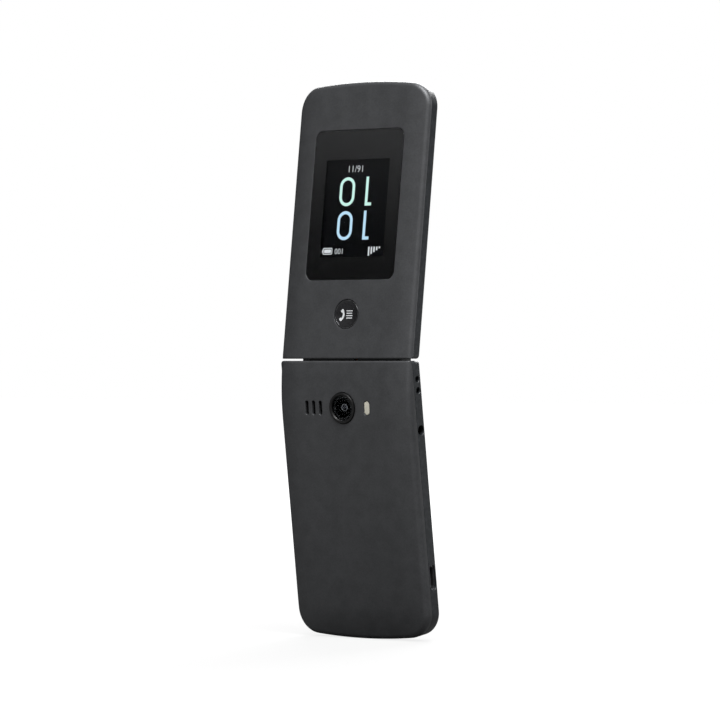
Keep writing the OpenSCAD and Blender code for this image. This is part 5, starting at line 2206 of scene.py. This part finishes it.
@dataclass(frozen=True)
class CameraGroup:
    """The camera, its ring and glass, the flash and the loudspeaker's mesh."""

    base: Half
    u: float = CAMERA_U
    ring_r: float = 5.5
    top: float = 9.55

    def ring(self) -> Piece:
        """The black ring round the lens, with a bright cut edge inside.

        Returns:
            The new object.
        """
        foot = 6.0
        profile = [(3.4, foot), (4.6, foot), (4.6, foot + 0.5), (self.ring_r, foot + 0.5)]
        profile += [(self.ring_r - inset, self.top - fall) for inset, fall in quarter(0.3, 5)]
        profile += [(4.85, self.top), (4.72, self.top - 0.03), (4.4, self.top - 0.33)]
        profile += [(4.35, self.top - 0.4), (4.35, 8.6), (3.4, 8.6)]
        obj = lathe(self.base, "CameraRing", 0, self.u, profile)
        return Shop.hand_over(obj, "base", Look.RING, "ring_black", "camera_ring")

    def glass(self) -> Piece:
        """The flat glass over the lens.

        Returns:
            The new object.
        """
        obj = pad(self.base, "CameraGlass", Circle(0, self.u, 4.3, 96), 8.65, 9.15, 0.08)
        cover = GlassFinish("camera_cover_glass", (0.8, 0.82, 0.84, 1.0), bend=1.05)
        return Shop.hand_over(obj, "base", cover, "window_black", "camera_glass")

    def barrel(self) -> None:
        """The lens barrel's steps, the front lens and the housing under them."""
        steps = [(0, 6.4), (1.05, 6.4), (1.05, 7.3), (1.55, 7.35), (1.6, 7.7), (2.15, 7.75), (2.2, 8.0)]
        steps += [(2.75, 8.05), (2.8, 8.2), (3.1, 8.2), (3.2, 8.1), (3.2, 5.9), (0, 5.9)]
        obj = lathe(self.base, "LensBarrel", 0, self.u, steps)
        block = pad(self.base, "CameraBlock", RoundRect(0, self.u, 8.4, 8.4, 0.5, 4), 4.35, 5.85, 0.2)
        whole = Shop.joined("CameraModule", [obj, block])
        Shop.hand_over(whole, "base", Look.LENS_BLACK, "ring_black", "camera_module")
        sweep = np.linspace(0.1, math.pi / 2 - 0.02, 12)
        dome = [(0.95, 7.4), *((math.cos(a), 7.4 + 0.5 * math.sin(a)) for a in sweep), (0, 7.9)]
        lens = lathe(self.base, "FrontLens", 0, self.u, [(0, 7.38), *dome])
        tinted = GlassFinish("lens_glass", (0.3, 0.31, 0.4, 1.0), bend=1.5)
        Shop.hand_over(lens, "base", tinted, "window_black")
        rim = [(1.06, 7.36), (1.34, 7.36), (1.34, 7.6), (1.25, 7.66), (1.06, 7.62)]
        bright = lathe(self.base, "LensRing", 0, self.u, rim)
        Shop.hand_over(bright, "base", Look.STEEL, "ring_black")

    def flash(self) -> Piece:
        """The flash's lens, whose top follows the back face.

        Returns:
            The new object.
        """
        skin = Skin(self.base)
        shape = RoundRect(FLASH_X, self.u, 2.2, 4.8, 1.09, 8, 0.4)

        def top(drop: float) -> Height:
            """The back face, lowered by a drop."""
            return lambda x, u: self.base.face(x, u) - drop

        rings = [skin.ring(shape.at(0), 6.2), skin.ring(shape.at(0), top(0.3))]
        for inset, fall in quarter(0.18, 4, 1):
            rings.append(skin.ring(shape.at(inset), top(0.12 + fall)))
        skin.run(rings)
        skin.fill(rings[0], [], 6.2, 2)
        skin.fill(rings[-1], [], top(0.12), 0.3)
        obj = skin.build("FlashLens")
        return Shop.hand_over(obj, "base", Look.CREAM, "flash_cream", "flash_lens")

    def cloth(self) -> Piece:
        """The wire cloth under the loudspeaker's slots, in its frame.

        Returns:
            The new object.
        """
        outline = RoundRect(SPEAKER_X, self.u, 8.8, 6.7, 0.8, 4)
        frame_piece = pad(self.base, "SpeakerFrame", outline, 6.5, 7.1, 0.1)
        Shop.hand_over(frame_piece, "base", Look.WIRE, "mesh_black", "speaker_mesh")
        place = half_matrix(self.base, SPEAKER_X, self.u, 7.28)
        obj = Repeats.cloth("SpeakerCloth", (0.0086, 0.0065, 0.00042, 0.00009), place)
        return Shop.hand_over(obj, "base", Look.WIRE, "mesh_black")

    def build(self) -> None:
        """Makes the group."""
        self.ring()
        self.glass()
        self.barrel()
        self.flash()
        self.cloth()


class KeyForm(Enum):
    """How a key is shaped."""

    BLOCK = "block"
    RING = "ring"
    DISC = "disc"


@dataclass(frozen=True)
class KeyPlace:
    """One key: its node, place, size and what is printed on it."""

    node: str
    x: float
    u: float
    w: float
    l: float
    mark: str = ""
    form: KeyForm = KeyForm.BLOCK
    gap: float = 0.15

    def shape(self) -> Contour:
        """The key's outline.

        Returns:
            The contour.
        """
        if self.form is KeyForm.BLOCK:
            return RoundRect(self.x, self.u, self.w, self.l, 1.8, 8, 1.0)
        return Circle(self.x, self.u, self.w / 2, 72)

    def opening(self) -> Contour:
        """The opening in the deck that it moves in.

        Returns:
            The contour.
        """
        if self.form is KeyForm.BLOCK:
            g = 2 * self.gap
            return RoundRect(self.x, self.u, self.w + g, self.l + g, 1.95, 8, 1.0)
        return Circle(self.x, self.u, self.w / 2 + self.gap, 72)


@dataclass(frozen=True)
class Keypad:
    """The keys on the base's front, with their printing."""

    base: Half
    keys: tuple[KeyPlace, ...]
    top: float = 0.35
    flange: float = 1.35
    flange_t: float = 0.3
    ok_r: float = 4.6
    nav_r: float = 10.5

    def block(self, key: KeyPlace) -> Piece:
        """A crowned key with its flange.

        Args:
            key: the key.

        Returns:
            The new object.
        """
        shape = key.shape()
        wide = RoundRect(key.x, key.u, key.w + 0.9, key.l + 0.9, 1.8, 8, 1.0)
        cap = pad(self.base, "cap", shape, self.flange, self.top + 0.06, 0.3, 0.1)
        foot = pad(self.base, "foot", wide, self.flange + self.flange_t, self.flange, 0.05)
        return Shop.joined(self.title(key), [cap, foot])

    @staticmethod
    def title(key: KeyPlace) -> str:
        """The name of a key's object."""
        return "".join(part.capitalize() for part in key.node.split("_"))

    def disc(self, key: KeyPlace) -> Piece:
        """The round key in the middle, slightly dished.

        Args:
            key: the key.

        Returns:
            The new object.
        """
        r = key.w / 2
        profile = [(0, self.flange + 0.3), (r + 0.45, self.flange + 0.3), (r + 0.45, self.flange)]
        profile += [(r, self.flange), (r, self.top + 0.3)]
        for a in (0.4, 0.8, 1.2, math.pi / 2):
            profile.append((r - 0.25 * (1 - math.cos(a)), self.top + 0.05 + 0.25 * (1 - math.sin(a))))
        for k in range(1, 8):
            profile.append(((r - 0.25) * (1 - k / 8), self.top + 0.05 + 0.12 * (1 - (1 - k / 8) ** 2)))
        profile.append((0, self.top + 0.17))
        return lathe(self.base, self.title(key), key.x, key.u, profile)

    def ring(self, key: KeyPlace) -> Piece:
        """The navigation ring, crowned between its two edges.

        Args:
            key: the key.

        Returns:
            The new object.
        """
        outer, inner = self.nav_r, self.ok_r + 0.15
        profile = [(inner + 0.6, self.flange + 0.3), (outer + 0.45, self.flange + 0.3)]
        profile += [(outer + 0.45, self.flange), (outer, self.flange), (outer, self.top + 0.35)]
        for a in (0.4, 0.8, 1.2):
            profile.append((outer - 0.3 * (1 - math.cos(a)), self.top + 0.08 + 0.27 * (1 - math.sin(a))))
        for k in range(13):
            t = k / 12
            r = outer - 0.3 - (outer - inner - 0.55) * t
            profile.append((r, self.top + 0.08 - 0.08 * math.sin(math.pi * t)))
        profile += [(inner + 0.08, self.top + 0.16), (inner, self.top + 0.33)]
        profile += [(inner, self.flange), (inner + 0.6, self.flange)]
        return lathe(self.base, self.title(key), key.x, key.u, profile)

    def print_on(self, key: KeyPlace) -> None:
        """The printing on one key.

        Args:
            key: the key.
        """
        decal = Decal(self.base, key.x, key.u, self.top - 0.045, ON_KEYS, 0.012)
        finish = Look.PRINT
        if key.node in ("call_key", "end_key"):
            finish = Look.GREEN_PRINT if key.node == "call_key" else Look.RED_PRINT
            arc = [(2.2 * math.sin(a), 2.2 * math.cos(a) - 1.6) for a in np.linspace(-0.85, 0.85, 17)]
            decal.stroke(arc, 0.6)
            for side in (-1, 1):
                decal.box(side * 1.75, -0.55, 0.95, 1.05, 0.2)
        elif key.node.startswith("soft"):
            decal.box(0, 0, 3.4, 0.5, 0.2)
        elif key.form is KeyForm.RING:
            for turn in range(4):
                c, s = math.cos(turn * math.pi / 2), math.sin(turn * math.pi / 2)
                tip = [(0.0, 8.25), (0.75, 7.2), (-0.75, 7.2)]
                decal.patch([(a * c - b * s, a * s + b * c) for a, b in tip])
        elif key.form is KeyForm.DISC:
            decal.v = self.top + 0.15
            decal.loop(0, 0, 2.1, 2.1, 1.0, 0.3)
        elif key.node == "key_star":
            for a in (0.0, math.pi / 3, 2 * math.pi / 3):
                tip = (1.1 * math.sin(a), 1.1 * math.cos(a))
                decal.stroke([tip, (0.0, 0.0), (-tip[0], -tip[1])], 0.36)
        else:
            decal.words(key.mark, 4.0, 0, 0, -0.008, 0.92)
        obj = decal.build(self.title(key) + "Print")
        Shop.hand_over(obj, key.node, finish, "key_black")

    def build(self) -> None:
        """Makes every key and its printing."""
        for key in self.keys:
            if key.form is KeyForm.BLOCK:
                obj, look = self.block(key), Look.KEY
            elif key.form is KeyForm.DISC:
                obj, look = self.disc(key), Look.KEY
            else:
                spot = Vector(self.base.place(np.array([[0, key.u, 0]]))[0])
                obj = self.ring(key)
                look = TurnedFinish(
                    "nav_metal", srgb(120, 121, 124), roughness=0.28, metallic=1.0, grain=0.2, depth=0.003,
                    centre=tuple(spot), axis=tuple(self.base.outward()), pitch=0.14, cut=0.8, wear=0.1,
                )
            slot = "nav_metal" if key.form is KeyForm.RING else "key_black"
            Shop.hand_over(obj, key.node, look, slot, key.node)
            self.print_on(key)


@dataclass(frozen=True)
class MainDisplay:
    """The main window with its mask, the panel behind, and the earpiece's cloth."""

    lid: Half
    window: RoundRect = RoundRect(0, MAIN_SCREEN_U, 51, 73, 2.45, 10)
    lit: RoundRect = RoundRect(0, MAIN_SCREEN_U, 43.2, 57.6, 0.4, 3)

    def build(self) -> None:
        """Makes the group."""
        Window(self.lid, "MainWindow", "main_window", self.window, self.lit, 0.3, 1.0).build()
        shape = RoundRect(0, MAIN_SCREEN_U, 46.2, 65.6, 0.6, 3)
        panel = pad(self.lid, "MainDisplayPanel", shape, 3.25, 1.6, 0.1)
        Shop.hand_over(panel, "lid", Look.PANEL, "display_panel", "main_display")
        place = half_matrix(self.lid, 0, EARPIECE_U, 0.75, -1)
        cloth = Repeats.cloth("EarpieceCloth", (0.0096, 0.00115, 0.00032, 0.00007), place)
        Shop.hand_over(cloth, "lid", Look.WIRE, "mesh_black", "earpiece_mesh")
        self.screen()

    def screen(self) -> None:
        """What the main display shows: a time in plain numerals, and the same small signs."""
        decal = Decal(self.lid, 0, MAIN_SCREEN_U, 1.595, ON_SCREEN, 0.02)
        decal.words("10:10", 11.0, 0, 8.0, -0.02, 0.9)
        decal.words("16/11", 3.4, 0, 0.0, -0.012, 0.95)
        decal.loop(18.2, 26.2, 3.6, 1.9, 0.35, 0.25)
        decal.box(18.2, 26.2, 2.8, 1.1, 0.15)
        for i in range(5):
            decal.box(-19.8 + 0.95 * i, 25.2 + 0.24 * (i + 1), 0.55, 0.48 * (i + 1))
        Shop.hand_over(decal.build("MainScreenSigns"), "lid", Look.WHITE, "display_panel")


@dataclass(frozen=True)
class Fasteners:
    """The screws of both halves, and the lid's rubber bumpers."""

    base: Half
    lid: Half

    def screws(
        self, half: Half, name: str, node: str, places: Sequence[Triple], near: int, shank: float
    ) -> None:
        """The screws of one half.

        Args:
            half: the half that they hold.
            name: the object's name.
            node: the CAD node that they stand for.
            places: x, u and v of each head's top.
            near: 1 if heads face outwards, -1 if they face the front.
            shank: length of the shank.
        """
        points = half.place(np.array(places))
        turn = half_matrix(half, 0, 0, 0, near).to_euler()
        values = {"Turn": tuple(turn), "Shank Length": shank * MM, "Material": dressed(Look.STEEL)}
        obj = Repeats.make(name, Repeats.screws(), values, points=points)
        Shop.hand_over(obj, half.body, Look.STEEL, "steel", node)

    def bumpers(self) -> None:
        """Four domed rubber feet that keep the closed halves apart."""
        profile = [(0, 0.75), (1.5, 0.75), (1.5, 0.05), (1.42, -0.08), (1.2, -0.15), (0.7, -0.175)]
        profile.append((0, -0.18))
        parts = []
        for u in LID_ROWS:
            for sx in (-1, 1):
                parts.append(lathe(self.lid, "foot", sx * BUMPER_X, u, profile, 40))
        Shop.hand_over(Shop.joined("LidBumpers", parts), "lid", Look.RUBBER, "silicone", "lid_bumpers")

    def build(self, base_heads: Sequence[Triple]) -> None:
        """Makes the screws and bumpers.

        Args:
            base_heads: x, u and v of the base screws' heads.
        """
        self.screws(self.base, "BaseScrews", "base_screws", base_heads, 1, 2.6)
        lid_heads = [(sx * SCREW_X, u, 0.5) for u in LID_ROWS for sx in (-1, 1)]
        self.screws(self.lid, "LidScrews", "lid_screws", lid_heads, -1, 3.2)
        self.bumpers()


class InnerParts:
    """The CAD nodes that stay as they are and only get their finish."""

    FINISH = {
        "mid_frame": Look.INNER,
        "main_board": Look.BOARD,
        "shield_cans": Look.STEEL,
        "battery": Look.CELL_WRAP,
        "battery_contacts": Look.GOLD,
        "loudspeaker": Look.LENS_BLACK,
        "headphone_jack": Look.LENS_BLACK,
        "usb_port": Look.STEEL,
        "microphone": Look.STEEL,
        "vibration_motor": Look.STEEL,
        "sim_holder": Look.STEEL,
        "keypad_membrane": Look.RUBBER,
        "dome_sheet": Look.STEEL,
        "hinge_flex": Look.FILM,
        "hinge_shaft": Look.STEEL,
        "outer_key_dome": Look.STEEL,
        "lid_board": Look.BOARD,
        "lid_plate": Look.STEEL,
        "earpiece": Look.LENS_BLACK,
        "lid_magnet": Look.STEEL,
        "lid_flex": Look.FILM,
        "hinge_module": Look.STEEL,
        "hinge_spring": Look.STEEL,
    }

    def build(self) -> None:
        """Gives each carried-over node its finish."""
        for node, finish in self.FINISH.items():
            obj = frame["nodes"][node]
            obj.data.materials.clear()
            obj.data.materials.append(dressed(finish))
            LOG.info("%s keeps its solid", node)


# ------------------------------------------------------------------ studio


@dataclass(frozen=True)
class Studio:
    """Camera, lamps, floor and surroundings."""

    hinge: Vector
    turn: float = math.radians(36.83)
    distance: float = 1.3274
    across: float = 0.00225
    drop: float = 0.000071
    lens: float = 187.2

    def back(self) -> Vector:
        """Direction from the phone to the camera."""
        return Vector((-math.sin(self.turn), math.cos(self.turn), 0))

    def camera(self) -> None:
        """The camera at the photograph's viewing angle."""
        data = bpy.data.cameras.new("Camera")
        data.lens, data.sensor_width, data.clip_end = self.lens, 36.0, 50.0
        cam = bpy.data.objects.new("Camera", data)
        right = Vector((-math.cos(self.turn), -math.sin(self.turn), 0))
        shift = right * self.across - Vector((0, 0, self.drop))
        cam.location = self.hinge + self.back() * self.distance + shift
        cam.rotation_euler = self.back().to_track_quat("Z", "Y").to_euler()
        bpy.context.scene.collection.objects.link(cam)
        bpy.context.scene.camera = cam

    def lamp(self, name: str, azimuth: float, height: float, reach: float, size: float, watts: float) -> None:
        """A soft square lamp that looks at the phone's middle.

        Args:
            name: the lamp's name.
            azimuth: degrees from +Y towards -X.
            height: degrees above the level.
            reach: distance from the phone's middle in metres.
            size: side of the square.
            watts: its power.
        """
        data = bpy.data.lights.new(name, "AREA")
        data.energy, data.size, data.shape = watts, size, "SQUARE"
        obj = bpy.data.objects.new(name, data)
        a, e = math.radians(azimuth), math.radians(height)
        way = Vector((-math.sin(a) * math.cos(e), math.cos(a) * math.cos(e), math.sin(e)))
        obj.location = Vector((0, 0, 0.1)) + way * reach
        obj.rotation_euler = way.to_track_quat("Z", "Y").to_euler()
        bpy.context.scene.collection.objects.link(obj)

    def floor(self) -> None:
        """A plain pale floor that keeps the phone's shadow, and glows for glossy rays as a painted
        reflection.
        """
        bpy.ops.mesh.primitive_plane_add(size=12)
        floor = bpy.context.object
        floor.name = "Floor"
        material = bpy.data.materials.new("pale_floor")
        material.use_nodes = True
        w = Wiring(material.node_tree)
        shader = material.node_tree.nodes["Principled BSDF"]
        shader.inputs["Base Color"].default_value = (0.1, 0.1, 0.1, 1)
        shader.inputs["Roughness"].default_value = 0.9
        shader.inputs["Specular IOR Level"].default_value = 0.0
        shader.inputs["Emission Color"].default_value = (1, 1, 1, 1)
        path = w.put("ShaderNodeLightPath").outputs
        place = w.place()
        reach = w.put("ShaderNodeVectorMath", {0: place}, operation="LENGTH").outputs["Value"]
        lift = w.maths("MULTIPLY_ADD", w.ramp(reach, 0.15, 1.2), 0.28, 0.79)
        ahead = w.maths("ABSOLUTE", w.put("ShaderNodeSeparateXYZ", {0: place}).outputs["Y"])
        facing = w.ramp(w.maths("DIVIDE", ahead, reach), 0.1, 1.0)
        # Painted reflection: for glossy rays only, the floor glows most ahead of and behind the phone and
        # away from it.
        painted_reflection = w.maths("MULTIPLY", w.maths("MULTIPLY", facing, w.ramp(reach, 0.06, 0.35)), 0.6)
        seen = w.maths("MULTIPLY", path["Is Camera Ray"], lift)
        glow = w.maths("MULTIPLY_ADD", path["Is Glossy Ray"], painted_reflection, seen)
        w.tree.links.new(glow, shader.inputs["Emission Strength"])
        floor.data.materials.append(material)

    def world(self) -> None:
        """Plain surroundings: white to the camera, and a soft fall of light in reflections."""
        world = bpy.data.worlds.new("Surroundings")
        bpy.context.scene.world = world
        world.use_nodes = True
        w = Wiring(world.node_tree)
        background = world.node_tree.nodes["Background"]
        path = w.put("ShaderNodeLightPath").outputs
        way = w.put("ShaderNodeTexCoord").outputs["Generated"]
        parts = w.put("ShaderNodeSeparateXYZ", {0: way}).outputs
        facing = w.maths("MULTIPLY_ADD", w.ramp(w.maths("ABSOLUTE", parts["Y"]), 0.1, 1.0), 0.8, 0.2)
        mirror = w.maths("MULTIPLY_ADD", w.ramp(parts["Z"], 0.225, 0.275), 0.66, 0.03)
        mirror = w.maths("MULTIPLY", mirror, facing)
        through = w.maths("MAXIMUM", path["Is Glossy Ray"], path["Is Transmission Ray"])
        seen = w.maths("MAXIMUM", path["Is Camera Ray"], w.maths("MULTIPLY", through, mirror))
        rest = w.maths("MAXIMUM", seen, w.maths("MULTIPLY", path["Is Diffuse Ray"], 0.1))
        background.inputs["Color"].default_value = (1, 1, 1, 1)
        w.tree.links.new(rest, background.inputs["Strength"])

    def build(self) -> None:
        """Sets the studio up."""
        self.camera()
        self.floor()
        self.world()
        self.lamp("KeyLamp", 48, 61, 1.6, 1.0, 50)
        self.lamp("FrontLamp", 205, 40, 1.8, 1.2, 62)
        bpy.context.scene.view_settings.view_transform = "Standard"


# ------------------------------------------------------------------ the whole phone


def halves() -> tuple[Half, Half]:
    """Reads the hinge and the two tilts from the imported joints, and forms both halves.

    Returns:
        The base's half and the lid's half.
    """
    joints = {joint["name"]: joint for joint in frame["joints"]}
    spot = [1000 * c for c in joints["flip_hinge"]["pos_m"]]
    lift = joints["battery_cover_lift"]["axis"]
    press = joints["outer_key_press"]["axis"]
    base_tilt = math.atan2(-lift[2], lift[1])
    lid_tilt = math.atan2(-press[2], -press[1])
    base = Half("base", -1, base_tilt, spot[1], spot[2], 9.1, 4.5, 2.6, 20.0, 1.3, 13.0)
    lid = Half("lid", 1, lid_tilt, spot[1], spot[2], 6.4, 3.6)
    return base, lid


def key_places() -> tuple[KeyPlace, ...]:
    """Every key of the keypad.

    Returns:
        The keys, apart from the round one in the middle.
    """
    marks = "123456789*0#"
    nodes = [f"key_{c}" for c in "123456789"] + ["key_star", "key_0", "key_hash"]
    numbers = [
        KeyPlace(node, (i % 3 - 1) * 14.8, 54.5 + (i // 3) * 9.0, 13.2, 7.3, marks[i])
        for i, node in enumerate(nodes)
    ]
    sides = [
        KeyPlace(node, sx * 17.2, NAV_U + su * 5.5, 9.8, 6.8)
        for node, sx, su in (
            ("soft_left_key", -1, -1), ("soft_right_key", 1, -1), ("call_key", -1, 1), ("end_key", 1, 1)
        )
    ]
    ring = KeyPlace("nav_ring", 0, NAV_U, 21.0, 21.0, form=KeyForm.RING)
    return (*numbers, *sides, ring)


def main() -> None:
    """Builds the phone and its studio."""
    logging.basicConfig(level=logging.INFO, format="%(name)s: %(message)s")
    base, lid = halves()
    Studio(Vector(base.place(np.array([[0.0, 0.0, 0.0]]))[0])).build()
    keys = key_places()
    Shells(base, lid, keys=keys).build()
    OuterDisplay(lid).build()
    OuterKey(lid).build()
    CameraGroup(base).build()
    middle = KeyPlace("ok_key", 0, NAV_U, 9.2, 9.2, form=KeyForm.DISC)
    Keypad(base, (*keys, middle)).build()
    MainDisplay(lid).build()
    rows = ((17.0, 6.25), (44.2, 5.65), (89.6, 5.65))
    heads = [(sx * SCREW_X, u, v) for u, v in rows for sx in (-1, 1)]
    Fasteners(base, lid).build(heads)
    InnerParts().build()


if __name__ == "__main__":
    main()
